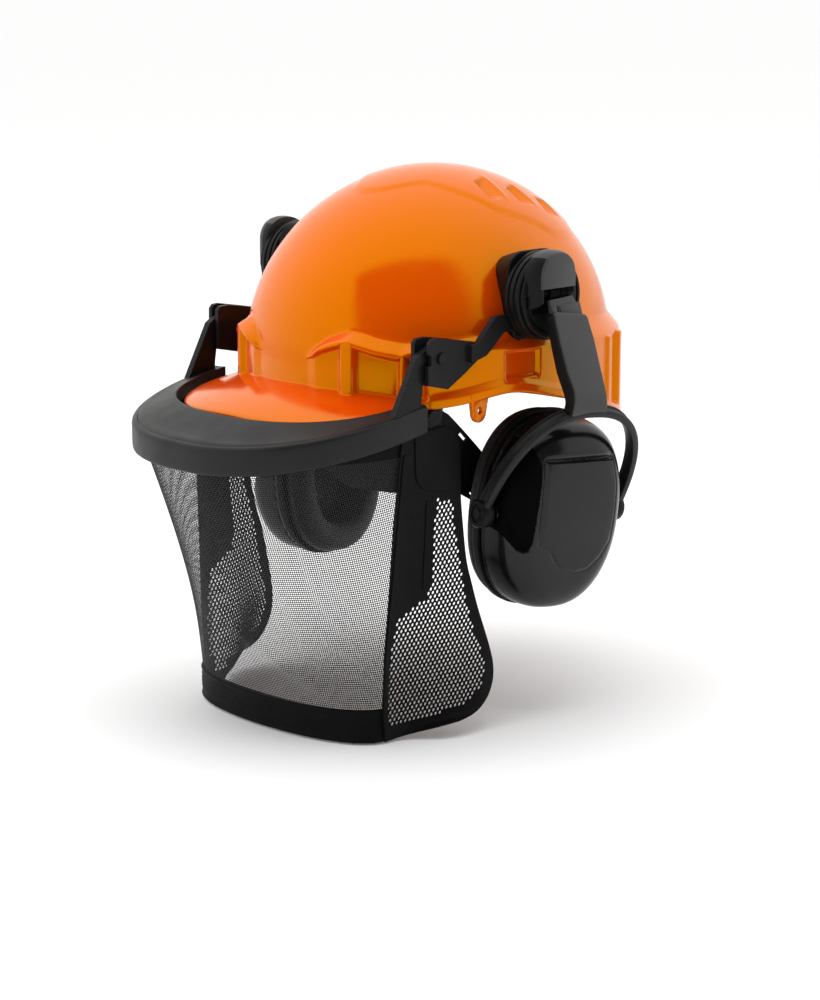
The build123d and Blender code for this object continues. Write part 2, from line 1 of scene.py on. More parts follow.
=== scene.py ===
# Forestry helmet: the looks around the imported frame. Lengths inside the helpers are millimetres.
import json
import math
import bpy
import bmesh
import numpy as np
from mathutils import Matrix, Vector
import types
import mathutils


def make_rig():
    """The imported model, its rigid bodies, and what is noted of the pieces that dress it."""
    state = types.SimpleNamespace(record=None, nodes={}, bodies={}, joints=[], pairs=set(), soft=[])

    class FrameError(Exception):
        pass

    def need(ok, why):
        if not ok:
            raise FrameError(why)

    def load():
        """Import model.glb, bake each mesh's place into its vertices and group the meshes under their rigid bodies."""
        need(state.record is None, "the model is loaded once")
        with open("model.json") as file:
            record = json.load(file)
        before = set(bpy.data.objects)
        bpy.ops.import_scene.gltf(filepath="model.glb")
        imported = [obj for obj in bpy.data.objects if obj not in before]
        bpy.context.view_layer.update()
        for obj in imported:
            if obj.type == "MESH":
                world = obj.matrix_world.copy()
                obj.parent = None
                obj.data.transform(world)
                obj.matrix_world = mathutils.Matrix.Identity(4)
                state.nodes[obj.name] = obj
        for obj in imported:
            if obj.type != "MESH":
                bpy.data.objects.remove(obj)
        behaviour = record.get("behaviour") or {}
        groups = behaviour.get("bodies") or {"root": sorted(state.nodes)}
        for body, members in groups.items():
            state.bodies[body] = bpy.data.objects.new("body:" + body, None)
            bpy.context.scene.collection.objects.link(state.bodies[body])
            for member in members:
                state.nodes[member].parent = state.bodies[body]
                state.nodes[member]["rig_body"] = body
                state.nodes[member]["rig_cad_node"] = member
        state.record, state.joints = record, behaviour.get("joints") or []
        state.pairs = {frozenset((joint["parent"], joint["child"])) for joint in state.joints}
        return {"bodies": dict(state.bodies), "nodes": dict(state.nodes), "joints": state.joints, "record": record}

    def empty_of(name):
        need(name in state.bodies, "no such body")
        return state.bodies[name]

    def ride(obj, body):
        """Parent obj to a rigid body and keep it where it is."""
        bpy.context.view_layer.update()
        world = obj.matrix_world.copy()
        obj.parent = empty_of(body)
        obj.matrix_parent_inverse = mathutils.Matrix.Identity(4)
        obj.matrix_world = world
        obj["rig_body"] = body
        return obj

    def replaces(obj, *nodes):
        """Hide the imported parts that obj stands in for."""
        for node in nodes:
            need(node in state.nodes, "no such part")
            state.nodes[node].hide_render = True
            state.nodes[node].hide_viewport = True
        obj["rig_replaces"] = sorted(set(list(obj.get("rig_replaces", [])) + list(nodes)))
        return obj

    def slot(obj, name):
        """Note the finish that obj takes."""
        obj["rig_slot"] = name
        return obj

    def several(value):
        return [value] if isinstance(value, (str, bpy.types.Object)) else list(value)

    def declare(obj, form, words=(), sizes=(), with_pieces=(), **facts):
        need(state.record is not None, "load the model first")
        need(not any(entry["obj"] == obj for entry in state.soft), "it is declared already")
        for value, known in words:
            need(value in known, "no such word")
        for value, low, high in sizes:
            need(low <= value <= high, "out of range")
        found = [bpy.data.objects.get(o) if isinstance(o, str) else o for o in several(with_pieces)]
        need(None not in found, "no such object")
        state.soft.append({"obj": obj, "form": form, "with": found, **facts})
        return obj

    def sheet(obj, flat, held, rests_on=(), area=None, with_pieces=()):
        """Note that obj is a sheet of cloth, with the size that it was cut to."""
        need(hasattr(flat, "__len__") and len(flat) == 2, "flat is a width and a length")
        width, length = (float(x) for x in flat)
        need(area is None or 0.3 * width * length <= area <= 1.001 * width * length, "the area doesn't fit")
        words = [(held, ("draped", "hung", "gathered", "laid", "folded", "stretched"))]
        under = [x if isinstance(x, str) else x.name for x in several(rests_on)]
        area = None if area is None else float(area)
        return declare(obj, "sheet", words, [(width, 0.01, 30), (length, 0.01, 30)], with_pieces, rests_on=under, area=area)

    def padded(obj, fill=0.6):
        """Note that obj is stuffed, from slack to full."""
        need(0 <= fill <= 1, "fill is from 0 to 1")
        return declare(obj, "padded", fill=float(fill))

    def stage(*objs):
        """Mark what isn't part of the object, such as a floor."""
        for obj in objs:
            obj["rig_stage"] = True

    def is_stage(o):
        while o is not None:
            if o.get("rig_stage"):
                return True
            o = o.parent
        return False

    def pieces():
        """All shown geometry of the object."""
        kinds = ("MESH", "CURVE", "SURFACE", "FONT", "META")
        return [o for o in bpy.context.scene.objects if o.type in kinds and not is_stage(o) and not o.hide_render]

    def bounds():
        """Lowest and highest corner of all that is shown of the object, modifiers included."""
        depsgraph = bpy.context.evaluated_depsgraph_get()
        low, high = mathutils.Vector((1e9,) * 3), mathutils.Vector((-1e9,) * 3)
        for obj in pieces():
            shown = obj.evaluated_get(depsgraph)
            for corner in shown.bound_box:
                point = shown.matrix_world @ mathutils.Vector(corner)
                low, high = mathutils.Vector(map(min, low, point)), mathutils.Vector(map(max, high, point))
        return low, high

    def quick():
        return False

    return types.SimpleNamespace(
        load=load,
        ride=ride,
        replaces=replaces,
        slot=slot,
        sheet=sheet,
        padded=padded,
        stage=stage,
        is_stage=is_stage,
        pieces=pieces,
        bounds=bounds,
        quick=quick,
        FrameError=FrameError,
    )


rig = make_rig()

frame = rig.load()
cad_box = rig.bounds()
MM = 0.001
rad = math.radians
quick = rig.quick()

# ------------------------------------------------------------------ camera
PITCH, AZ = rad(12.5127), rad(46.0)
right = Vector((math.cos(AZ), math.sin(AZ), 0))
back = Vector((math.sin(AZ) * math.cos(PITCH), -math.cos(AZ) * math.cos(PITCH), math.sin(PITCH)))
up = back.cross(right)
cam_data = bpy.data.cameras.new("camera")
cam_data.lens = 98.683
cam_data.sensor_width = 36
cam_data.clip_end = 60
cam = bpy.data.objects.new("camera", cam_data)
bpy.context.collection.objects.link(cam)
m3 = Matrix((right, up, back)).transposed()
cam.matrix_world = Matrix.Translation((1.2022, -1.1710, 0.2962)) @ m3.to_4x4()
bpy.context.scene.camera = cam
bpy.context.scene.view_settings.view_transform = "Standard"
bpy.context.scene.view_settings.look = "None"

# ------------------------------------------------------------------ mesh helpers


def se(t, a, b, e):
    c, s = np.cos(t), np.sin(t)
    return a * np.sign(c) * np.abs(c) ** (2 / e), b * np.sign(s) * np.abs(s) ** (2 / e)


def sst(x, a, b):
    t = np.clip((np.asarray(x, float) - a) / (b - a), 0, 1)
    return t * t * (3 - 2 * t)


def link(o):
    bpy.context.collection.objects.link(o)
    return o


def mesh_obj(name, verts, faces, smooth=True, fix=True):
    me = bpy.data.meshes.new(name)
    v = (np.asarray(verts, float) * MM)
    me.from_pydata(v.tolist(), [], [list(map(int, f)) for f in faces])
    me.validate()
    if fix:
        bm = bmesh.new()
        bm.from_mesh(me)
        bmesh.ops.recalc_face_normals(bm, faces=bm.faces)
        bm.to_mesh(me)
        bm.free()
    me.polygons.foreach_set("use_smooth", [smooth] * len(me.polygons))
    me.update()
    return link(bpy.data.objects.new(name, me))


def tri_quads(rows, cols, close_c=False, close_r=False, base=0):
    """Quads of a rows x cols vertex grid."""
    rr = rows if close_r else rows - 1
    cc = cols if close_c else cols - 1
    i, j = np.meshgrid(np.arange(rr), np.arange(cc), indexing="ij")
    i, j = i.ravel(), j.ravel()
    i2, j2 = (i + 1) % rows, (j + 1) % cols
    return np.stack([i * cols + j, i * cols + j2, i2 * cols + j2, i2 * cols + j], 1) + base


def set_mat(o, m):
    o.data.materials.clear()
    o.data.materials.append(m)
    return o


def bevel(o, w, seg=3, ang=35):
    b = o.modifiers.new("bevel", "BEVEL")
    b.width = w * MM
    b.segments = seg
    b.limit_method = "ANGLE"
    b.angle_limit = rad(ang)
    b.use_clamp_overlap = True
    return o


def apply_mods(o):
    dg = bpy.context.evaluated_depsgraph_get()
    me = bpy.data.meshes.new_from_object(o.evaluated_get(dg))
    mats = [m for m in o.data.materials]
    o.modifiers.clear()
    o.data = me
    if mats and not me.materials:
        for m in mats:
            me.materials.append(m)
    return o


def prism(name, pts, x0, x1, bev=0.5, seg=3, ang=35, smooth=True):
    """A slab between X = x0 and x1 with the outline pts in (Y, Z)."""
    n = len(pts)
    v = [(x0, y, z) for y, z in pts] + [(x1, y, z) for y, z in pts]
    f = [list(range(n))[::-1], list(range(n, 2 * n))] + [[i, (i + 1) % n, n + (i + 1) % n, n + i] for i in range(n)]
    o = mesh_obj(name, v, f, smooth=smooth)
    if bev:
        bevel(o, bev, seg, ang)
        apply_mods(o)
    o.data.polygons.foreach_set("use_smooth", [True] * len(o.data.polygons))
    try:
        o.data.set_sharp_from_angle(angle=rad(40))
    except Exception:
        pass
    return o


def mirror_x(o, name):
    me = o.data.copy()
    n = len(me.vertices)
    co = np.empty(n * 3)
    me.vertices.foreach_get("co", co)
    co[0::3] *= -1
    me.vertices.foreach_set("co", co)
    me.flip_normals()
    me.update()
    o2 = bpy.data.objects.new(name, me)
    return link(o2)


def move(o, M):
    """Applies a matrix given in millimetres."""
    M = M.copy()
    M.translation = M.translation * MM
    o.data.transform(M)
    o.data.update()
    return o


def join(name, objs):
    bm = bmesh.new()
    mats = []
    for o in objs:
        off = len(bm.faces)
        bm.from_mesh(o.data)
        bm.faces.ensure_lookup_table()
        for m in o.data.materials:
            if m not in mats:
                mats.append(m)
        for f in bm.faces[off:]:
            mm = o.data.materials[f.material_index] if len(o.data.materials) else None
            f.material_index = mats.index(mm) if mm in mats else 0
    me = bpy.data.meshes.new(name)
    bm.to_mesh(me)
    bm.free()
    for m in mats:
        me.materials.append(m)
    for o in objs:
        bpy.data.objects.remove(o)
    o = link(bpy.data.objects.new(name, me))
    return o


def flat_curve(name, outlines, thick, bev=0.0, res=2):
    """A flat plate in the (u, v) plane with holes: outlines[0] is the edge, the rest holes. Closed solid, thickness along w."""
    cu = bpy.data.curves.new(name, "CURVE")
    cu.dimensions = "2D"
    cu.fill_mode = "BOTH"
    cu.extrude = (thick / 2 - bev) * MM
    cu.bevel_depth = bev * MM
    cu.bevel_resolution = res
    for pts in outlines:
        sp = cu.splines.new("POLY")
        sp.points.add(len(pts) - 1)
        for p, (u, v) in zip(sp.points, pts):
            p.co = (u * MM, v * MM, 0, 1)
        sp.use_cyclic_u = True
    tmp = bpy.data.objects.new(name + "_c", cu)
    link(tmp)
    dg = bpy.context.evaluated_depsgraph_get()
    me = bpy.data.meshes.new_from_object(tmp.evaluated_get(dg))
    bpy.data.objects.remove(tmp)
    bm = bmesh.new()
    bm.from_mesh(me)
    bmesh.ops.remove_doubles(bm, verts=bm.verts, dist=1e-6)
    bm.to_mesh(me)
    bm.free()
    me.name = name
    return link(bpy.data.objects.new(name, me))


def catmull(pts, per=6, closed=False):
    p = [np.array(q, float) for q in pts]
    n = len(p)
    out = []
    rng = range(n) if closed else range(n - 1)
    for i in rng:
        p0 = p[(i - 1) % n] if closed or i > 0 else p[0]
        p1, p2 = p[i], p[(i + 1) % n]
        p3 = p[(i + 2) % n] if closed or i + 2 < n else p[-1]
        for k in range(per):
            t = k / per
            out.append(0.5 * ((2 * p1) + (-p0 + p2) * t + (2 * p0 - 5 * p1 + 4 * p2 - p3) * t * t + (-p0 + 3 * p1 - 3 * p2 + p3) * t ** 3))
    if not closed:
        out.append(p[-1])
    return np.array(out)


def rounded(pts, r=2.0, n=5):
    """Polygon outline with its corners rounded."""
    out = []
    m = len(pts)
    for i in range(m):
        a, b, c = (np.array(pts[(i + k) % m], float) for k in (-1, 0, 1))
        u, v = a - b, c - b
        lu, lv = np.linalg.norm(u), np.linalg.norm(v)
        u, v = u / lu, v / lv
        ang = math.acos(max(-1, min(1, float(u @ v))))
        d = min(r / max(math.tan(ang / 2), 1e-3), 0.45 * lu, 0.45 * lv)
        p, q = b + u * d, b + v * d
        for k in range(n + 1):
            t = k / n
            out.append(tuple((1 - t) ** 2 * p + 2 * t * (1 - t) * b + t * t * q))
    return out


def place(loc, *rots):
    """Matrix in millimetres: a translation and rotations given as (axis, degrees), applied in order."""
    M = Matrix.Translation(Vector(loc))
    for ax, d in rots:
        M = M @ Matrix.Rotation(rad(d), 4, ax)
    return M


# ------------------------------------------------------------------ materials


def material(name, color, rough=0.4, coat=0.0, coat_rough=0.1, grain=0.0, grain_scale=900.0, vary=0.0, vary_scale=25.0,
             round_edges=0.0, spec=0.5, sheen=0.0, metal=0.0, wear=0.0, weave=None, rough_vary=0.06, sss=0.0, ior=1.5, tint=None):
    m = bpy.data.materials.new(name)
    m.use_nodes = True
    nt = m.node_tree
    nt.nodes.clear()
    out = nt.nodes.new("ShaderNodeOutputMaterial")
    bsdf = nt.nodes.new("ShaderNodeBsdfPrincipled")
    nt.links.new(bsdf.outputs[0], out.inputs[0])
    bsdf.inputs["Base Color"].default_value = (*color, 1)
    bsdf.inputs["Roughness"].default_value = rough
    bsdf.inputs["Metallic"].default_value = metal
    bsdf.inputs["Specular IOR Level"].default_value = spec
    bsdf.inputs["IOR"].default_value = ior
    if tint:
        bsdf.inputs["Specular Tint"].default_value = (*tint, 1)
    bsdf.inputs["Coat Weight"].default_value = coat
    bsdf.inputs["Coat Roughness"].default_value = coat_rough
    bsdf.inputs["Sheen Weight"].default_value = sheen
    if sss:
        bsdf.inputs["Subsurface Weight"].default_value = sss
        bsdf.inputs["Subsurface Radius"].default_value = (0.004, 0.0015, 0.0005)
        bsdf.inputs["Subsurface Scale"].default_value = 1.0
    tc = nt.nodes.new("ShaderNodeTexCoord")
    co = tc.outputs["Object"]
    N = nt.nodes.new
    L = nt.links.new
    # slow colour variation
    nz = N("ShaderNodeTexNoise")
    nz.inputs["Scale"].default_value = vary_scale
    nz.inputs["Detail"].default_value = 4
    L(co, nz.inputs["Vector"])
    ramp = N("ShaderNodeMapRange")
    ramp.inputs["From Min"].default_value = 0.3
    ramp.inputs["From Max"].default_value = 0.7
    ramp.inputs["To Min"].default_value = 1 - vary
    ramp.inputs["To Max"].default_value = 1 + vary
    L(nz.outputs["Fac"], ramp.inputs["Value"])
    col = N("ShaderNodeVectorMath")
    col.operation = "SCALE"
    col.inputs[0].default_value = color
    L(ramp.outputs[0], col.inputs["Scale"])
    base = col.outputs[0]
    # roughness variation: fine smudges
    nr = N("ShaderNodeTexNoise")
    nr.inputs["Scale"].default_value = 60
    nr.inputs["Detail"].default_value = 6
    L(co, nr.inputs["Vector"])
    rr = N("ShaderNodeMapRange")
    rr.inputs["From Min"].default_value = 0.3
    rr.inputs["From Max"].default_value = 0.7
    rr.inputs["To Min"].default_value = max(0.02, rough - rough_vary)
    rr.inputs["To Max"].default_value = rough + rough_vary
    L(nr.outputs["Fac"], rr.inputs["Value"])
    L(rr.outputs[0], bsdf.inputs["Roughness"])
    normal = None
    if round_edges:
        bv = N("ShaderNodeBevel")
        bv.samples = 4
        bv.inputs["Radius"].default_value = round_edges * MM
        normal = bv.outputs[0]
        if wear:
            # handled edges are a little lighter
            ge = N("ShaderNodeNewGeometry")
            dt = N("ShaderNodeVectorMath")
            dt.operation = "DOT_PRODUCT"
            bv2 = N("ShaderNodeBevel")
            bv2.samples = 4
            bv2.inputs["Radius"].default_value = round_edges * 1.6 * MM
            L(bv2.outputs[0], dt.inputs[0])
            L(ge.outputs["Normal"], dt.inputs[1])
            mr = N("ShaderNodeMapRange")
            mr.inputs["From Min"].default_value = 0.995
            mr.inputs["From Max"].default_value = 0.80
            mr.inputs["To Min"].default_value = 0.0
            mr.inputs["To Max"].default_value = wear
            L(dt.outputs["Value"], mr.inputs["Value"])
            mx = N("ShaderNodeMix")
            mx.data_type = "RGBA"
            L(mr.outputs[0], mx.inputs["Factor"])
            L(base, mx.inputs["A"])
            mx.inputs["B"].default_value = (min(1, color[0] * 2.5 + 0.03), min(1, color[1] * 2.5 + 0.03), min(1, color[2] * 2.5 + 0.03), 1)
            base = mx.outputs["Result"]
    if weave:
        kind, pitch, depth, dark = weave
        # two crossed sets of ribs on the piece's own coordinates
        sep = N("ShaderNodeSeparateXYZ")
        L(co, sep.inputs[0])
        waves = []
        for ax in kind:
            mu = N("ShaderNodeMath")
            mu.operation = "MULTIPLY"
            mu.inputs[1].default_value = 2 * math.pi / (pitch * MM)
            L(sep.outputs[ax], mu.inputs[0])
            sn = N("ShaderNodeMath")
            sn.operation = "SINE"
            L(mu.outputs[0], sn.inputs[0])
            waves.append(sn.outputs[0])
        h = waves[0]
        for w in waves[1:]:
            ad = N("ShaderNodeMath")
            ad.operation = "MULTIPLY"
            L(h, ad.inputs[0])
            L(w, ad.inputs[1])
            h = ad.outputs[0]
        bp = N("ShaderNodeBump")
        bp.inputs["Strength"].default_value = 0.8
        bp.inputs["Distance"].default_value = depth * MM
        L(h, bp.inputs["Height"])
        if normal:
            L(normal, bp.inputs["Normal"])
        normal = bp.outputs[0]
        mr = N("ShaderNodeMapRange")
        mr.inputs["From Min"].default_value = -1
        mr.inputs["From Max"].default_value = 1
        mr.inputs["To Min"].default_value = 1 - dark
        mr.inputs["To Max"].default_value = 1 + dark
        L(h, mr.inputs["Value"])
        sc = N("ShaderNodeVectorMath")
        sc.operation = "SCALE"
        L(base, sc.inputs[0])
        L(mr.outputs[0], sc.inputs["Scale"])
        base = sc.outputs[0]
    if grain:
        ng = N("ShaderNodeTexNoise")
        ng.inputs["Scale"].default_value = grain_scale
        ng.inputs["Detail"].default_value = 3
        L(co, ng.inputs["Vector"])
        bp = N("ShaderNodeBump")
        bp.inputs["Strength"].default_value = 0.6
        bp.inputs["Distance"].default_value = grain * MM
        L(ng.outputs["Fac"], bp.inputs["Height"])
        if normal:
            L(normal, bp.inputs["Normal"])
        normal = bp.outputs[0]
    if normal:
        L(normal, bsdf.inputs["Normal"])
    L(base, bsdf.inputs["Base Color"])
    return m


ORANGE = material("orange_plastic", (0.71, 0.062, 0.0004), rough=0.17, coat=0.0, vary=0.03, vary_scale=18, rough_vary=0.03, grain=0.003, grain_scale=260, spec=0.92, ior=1.76, tint=(0.84, 0.76, 0.004))
BLACK = material("black_plastic", (0.0075, 0.0075, 0.008), rough=0.42, grain=0.012, grain_scale=1500, vary=0.10, round_edges=0.7, wear=0.04, spec=0.16)
BLACK_N = material("black_plastic_plain", (0.009, 0.009, 0.0095), rough=0.42, grain=0.012, grain_scale=1500, vary=0.10, spec=0.24)
# dark hub plastic, also laid as painted shade on the cap's flank and on the stem's side walls
HUB_PLASTIC_AND_SHADE = material("hub_plastic", (0.0045, 0.0048, 0.0046), rough=0.40, grain=0.012, grain_scale=1500, vary=0.10, spec=0.13)
# painted shade: near-black colour laid on recesses, gaps and small parts that sit in shade
SHADE_PAINT = material("shaded_plastic", (0.0012, 0.0012, 0.0012), rough=0.5, vary=0.10, spec=0.03)
GREY = material("grey_black_plastic", (0.036, 0.036, 0.0365), rough=0.47, grain=0.014, grain_scale=1500, vary=0.08, spec=0.40)
CUP = material("cup_plastic", (0.004, 0.004, 0.0045), rough=0.22, coat=0.04, coat_rough=0.10, grain=0.004, grain_scale=1200, vary=0.08, rough_vary=0.04, spec=0.30)
NYLON = material("mesh_nylon", (0.014, 0.014, 0.015), rough=0.5, vary=0.15, vary_scale=60, spec=0.4)
WING = material("wing_plastic", (0.005, 0.005, 0.0055), rough=0.48, grain=0.01, grain_scale=1300, vary=0.1, spec=0.07)
HEM = material("hem_trim", (0.004, 0.004, 0.0045), rough=0.55, grain=0.02, grain_scale=1000, vary=0.12, spec=0.06)
STRAP = material("webbing", (0.055, 0.055, 0.06), rough=0.8, vary=0.1, weave=((0, 1, 2), 1.1, 0.25, 0.35), sheen=0.2)
SWEAT = material("sweatband_cloth", (0.045, 0.045, 0.05), rough=0.9, vary=0.15, grain=0.12, grain_scale=1400, sheen=0.5)
SKIN = material("cushion_skin", (0.014, 0.014, 0.015), rough=0.5, grain=0.06, grain_scale=700, vary=0.12, sheen=0.1)
FOAM = material("open_foam", (0.07, 0.07, 0.075), rough=0.95, grain=0.35, grain_scale=900, vary=0.25, vary_scale=300)
STEEL = material("brushed_steel", (0.45, 0.46, 0.47), rough=0.3, metal=1.0, grain=0.01, grain_scale=900, vary=0.06)
INNER = material("suspension_plastic", (0.035, 0.035, 0.038), rough=0.5, grain=0.02, grain_scale=1100, vary=0.08, round_edges=0.5, wear=0.06)

# ------------------------------------------------------------------ stage
bm = bmesh.new()
bmesh.ops.create_grid(bm, x_segments=1, y_segments=1, size=30)
me = bpy.data.meshes.new("floor")
bm.to_mesh(me)
bm.free()
floor = link(bpy.data.objects.new("floor", me))
floor.location.z = cad_box[0][2] - 0.0012
fm = bpy.data.materials.new("floor_white")
fm.use_nodes = True
fm.node_tree.nodes["Principled BSDF"].inputs["Base Color"].default_value = (0.93, 0.93, 0.93, 1)
fm.node_tree.nodes["Principled BSDF"].inputs["Roughness"].default_value = 0.9
fm.node_tree.nodes["Principled BSDF"].inputs["Specular IOR Level"].default_value = 0.0
floor.data.materials.append(fm)
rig.stage(floor)

world = bpy.data.worlds.new("studio")
bpy.context.scene.world = world
world.use_nodes = True
wt = world.node_tree
bg = wt.nodes["Background"]
tc = wt.nodes.new("ShaderNodeTexCoord")
fac = None
for nx, lo_, hi_ in (((0.862, 0.398, 0.313), -0.01, 0.05), ((0.647, -0.49, -0.384), -0.01, 0.05), ((0.174, -0.985, 0.0), -0.12, 0.16)):
    dot = wt.nodes.new("ShaderNodeVectorMath")
    dot.operation = "DOT_PRODUCT"
    dot.inputs[1].default_value = nx
    wt.links.new(tc.outputs["Generated"], dot.inputs[0])
    mr = wt.nodes.new("ShaderNodeMapRange")
    mr.interpolation_type = "SMOOTHSTEP"
    mr.inputs["From Min"].default_value = lo_
    mr.inputs["From Max"].default_value = hi_
    wt.links.new(dot.outputs["Value"], mr.inputs["Value"])
    if fac is None:
        fac = mr.outputs[0]
    else:
        mu = wt.nodes.new("ShaderNodeMath")
        mu.operation = "MULTIPLY"
        wt.links.new(fac, mu.inputs[0])
        wt.links.new(mr.outputs[0], mu.inputs[1])
        fac = mu.outputs[0]
mr = wt.nodes.new("ShaderNodeMapRange")
mr.inputs["To Min"].default_value = 1.0
mr.inputs["To Max"].default_value = 0.14
wt.links.new(fac, mr.inputs["Value"])
cmb = wt.nodes.new("ShaderNodeCombineColor")
behind = wt.nodes.new("ShaderNodeVectorMath")
behind.operation = "DOT_PRODUCT"
behind.inputs[1].default_value = (-0.655, 0.655, 0.0)
wt.links.new(tc.outputs["Generated"], behind.inputs[0])
for k, warm in enumerate((0.93, 0.92, 0.90)):
    m2 = wt.nodes.new("ShaderNodeMapRange")
    m2.interpolation_type = "SMOOTHSTEP"
    m2.inputs["From Min"].default_value = 0.30
    m2.inputs["From Max"].default_value = 0.75
    m2.inputs["To Min"].default_value = 1.0
    m2.inputs["To Max"].default_value = warm
    wt.links.new(behind.outputs["Value"], m2.inputs["Value"])
    mu = wt.nodes.new("ShaderNodeMath")
    mu.operation = "MULTIPLY"
    wt.links.new(mr.outputs[0], mu.inputs[0])
    wt.links.new(m2.outputs[0], mu.inputs[1])
    wt.links.new(mu.outputs[0], cmb.inputs[k])
wt.links.new(cmb.outputs[0], bg.inputs["Color"])
bg.inputs["Strength"].default_value = 1.27


def area(name, loc, target, size, power, size_y=None):
    li = bpy.data.lights.new(name, "AREA")
    li.energy = power
    li.size = size
    if size_y:
        li.shape = "RECTANGLE"
        li.size_y = size_y
    o = link(bpy.data.objects.new(name, li))
    o.location = loc
    o.rotation_euler = (Vector(target) - Vector(loc)).to_track_quat("-Z", "Y").to_euler()
    o.visible_glossy = False
    return o


area("top_soft", (0.1, -0.2, 1.9), (0, 0, 0), 1.8, 16)
area("key_left", (-1.5, -0.9, 1.0), (0, 0, 0.0), 1.6, 5, 1.6)

# ------------------------------------------------------------------ shell
DOME = np.array([100.5, 123.0, 111.2])
DY, DZ = 6.9, 21.6
WALL, BAND = 2.6, 6.0
RIM = np.array([(-100, 2.2), (-88, 1.6), (-77, 1.8), (-59, 4.0), (-40, 7.6), (-28, 8.8), (-14, 7.2), (0, 3.9), (19, -0.6), (45, -8.5), (75, -17.5), (100, -24.5), (122, -28.5), (140, -30)], float)


def keys(table, x, soft=0.5):
    t = np.array(table, float)
    xs = np.linspace(-soft, soft, 5)
    return sum(np.interp(x + d, t[:, 0], t[:, 1]) for d in xs) / 5


rim_s = catmull(RIM, 8)


def rim_z(y):
    return np.interp(y, rim_s[:, 0], rim_s[:, 1])


K_WALL = [(-90, 0), (-80.2, 0), (-77.2, 0.34), (-70.2, 0.30), (-69.0, 1.0), (-65.9, 1.0), (-65.1, 0.06), (-53.5, 0.06), (-52.8, 1), (-51.2, 1), (-50.5, 0.3), (-46.2, 0.3), (-44.8, 1),
          (30.0, 1), (31.0, 1.35), (34.0, 1.35), (35.0, 0.55), (42.5, 0.55), (43.6, 1.4), (47.5, 1.4), (48.6, 1.0), (60, 1.0), (90, 1)]
K_LEDGE = [(-90, 0), (-80.4, 0), (-78.4, 0.45), (-76.2, 0.85), (-73.5, 1), (90, 1)]
Z_OUT = [(-90, 30), (-80, 30), (-77.5, 34.5), (-75, 37.5), (-70, 41), (-67, 42), (-65.4, 40.0), (-60, 36.5), (-53, 33.5), (-50, 35.8), (-22, 35), (0, 34), (40, 32), (90, 30)]
Z_IN = [(-90, 34), (-80, 33), (-76.8, 38), (-73.2, 43.4), (-68.3, 46.5), (-64, 46), (-58.8, 42.8), (-50.1, 39.8), (-45.7, 39.0), (-24.5, 44), (0, 43), (40, 41), (90, 39)]
CREST = [(-90, 56), (-80, 53), (-72, 49), (-60, 42), (-48, 38.5), (-32, 43), (-16, 50), (-3, 60), (10, 66), (19.5, 72), (25.7, 79), (45, 86), (70, 88), (90, 88)]

ta = np.concatenate([np.arange(-90, -81, 0.9), np.arange(-81, -44, 0.30), np.arange(-44, -22, 0.7), np.arange(-22, 30, 0.5), np.arange(30, 50, 0.35), np.arange(50, 90.01, 0.8)])
ta[0] = -90
ta = np.append(ta[ta < 89.7], 90.0)
theta = np.concatenate([ta, 180 - ta[-2:0:-1]])          # all the way round
tas = np.concatenate([ta, ta[-2:0:-1]])                  # the same angle measured on one side
th = np.radians(theta)
ct, st = np.cos(th), np.sin(th)
NC = len(th)
Rd = DOME[0] * DOME[1] / np.sqrt((DOME[1] * ct) ** 2 + (DOME[0] * st) ** 2)


def dome_r(z):
    zz = np.clip((z - DZ) / DOME[2], 0, 1)
    return Rd * np.sqrt(1 - zz ** 2)


def brim_z(x, y):
    return -40 + 58.1 * np.sqrt(np.clip(1 - (x / 126.3) ** 2 - ((y + 70) / 124.0) ** 2, 0.02, 1))


def brim_r():
    lo, hi = np.full(NC, 60.0), np.full(NC, 200.0)
    for _ in range(40):
        mid = (lo + hi) / 2
        x, y = mid * ct, DY + mid * st
        q = np.abs(x / 81.0) ** 2.6 + (np.clip(-(y + 70.0), 0, None) / 89.5) ** 2.6
        ins = q < 1
        lo, hi = np.where(ins, mid, lo), np.where(ins, hi, mid)
    return lo


kw = keys(K_WALL, tas, 0.35)
kl = keys(K_LEDGE, tas, 1.2)
zo = keys(Z_OUT, tas, 0.8)
zi = keys(Z_IN, tas, 0.8)
wb = 1 - sst(tas, -50, -42.5)
Rlip = Rd + BAND + 2.4
Re = wb * np.where(tas < -40, brim_r(), 0) + (1 - wb) * Rlip
Re = np.where(tas < -46, np.maximum(Re, 0), Re)
NA, NB, NCC, ND, NE, NF, NG, NH = 112, 9, 6, 30, 22, 9, 12, 10
phi_top = 89.2
phi_in = np.degrees(np.arcsin(np.clip((zi - DZ) / DOME[2], 0.02, 1)))
# dense rows where the vents lie
ua = np.concatenate([np.linspace(0, 0.16, 10)[:-1], np.linspace(0.16, 0.62, 82)[:-1], np.linspace(0.62, 1, NA - 90)])
NA = len(ua)
phi = np.radians(phi_top + (phi_in[None, :] - phi_top) * ua[:, None])            # NA x NC


def dome_pts(g):
    cr = np.cos(phi)
    R = (DOME[0] + g) * (DOME[1] + g) / np.sqrt(((DOME[1] + g) * ct) ** 2 + ((DOME[0] + g) * st) ** 2)
    r = R[None, :] * cr
    z = DZ + (DOME[2] + g) * np.sin(phi)
    return np.stack([r * ct, DY + r * st, z], -1)


A = dome_pts(0.0)
nrm = np.stack([A[..., 0] / DOME[0] ** 2, (A[..., 1] - DY) / DOME[1] ** 2, (A[..., 2] - DZ) / DOME[2] ** 2], -1)
nrm /= np.linalg.norm(nrm, axis=-1, keepdims=True)
# low crown panel, its edge a soft step
rp = np.hypot(A[..., 0], A[..., 1] - DY)
cre = keys(CREST, tas, 3.0)
A = A + nrm * (1.1 * (1 - sst(rp, cre[None, :] - 3.0, cre[None, :] + 3.5)) - 0.0)[..., None]
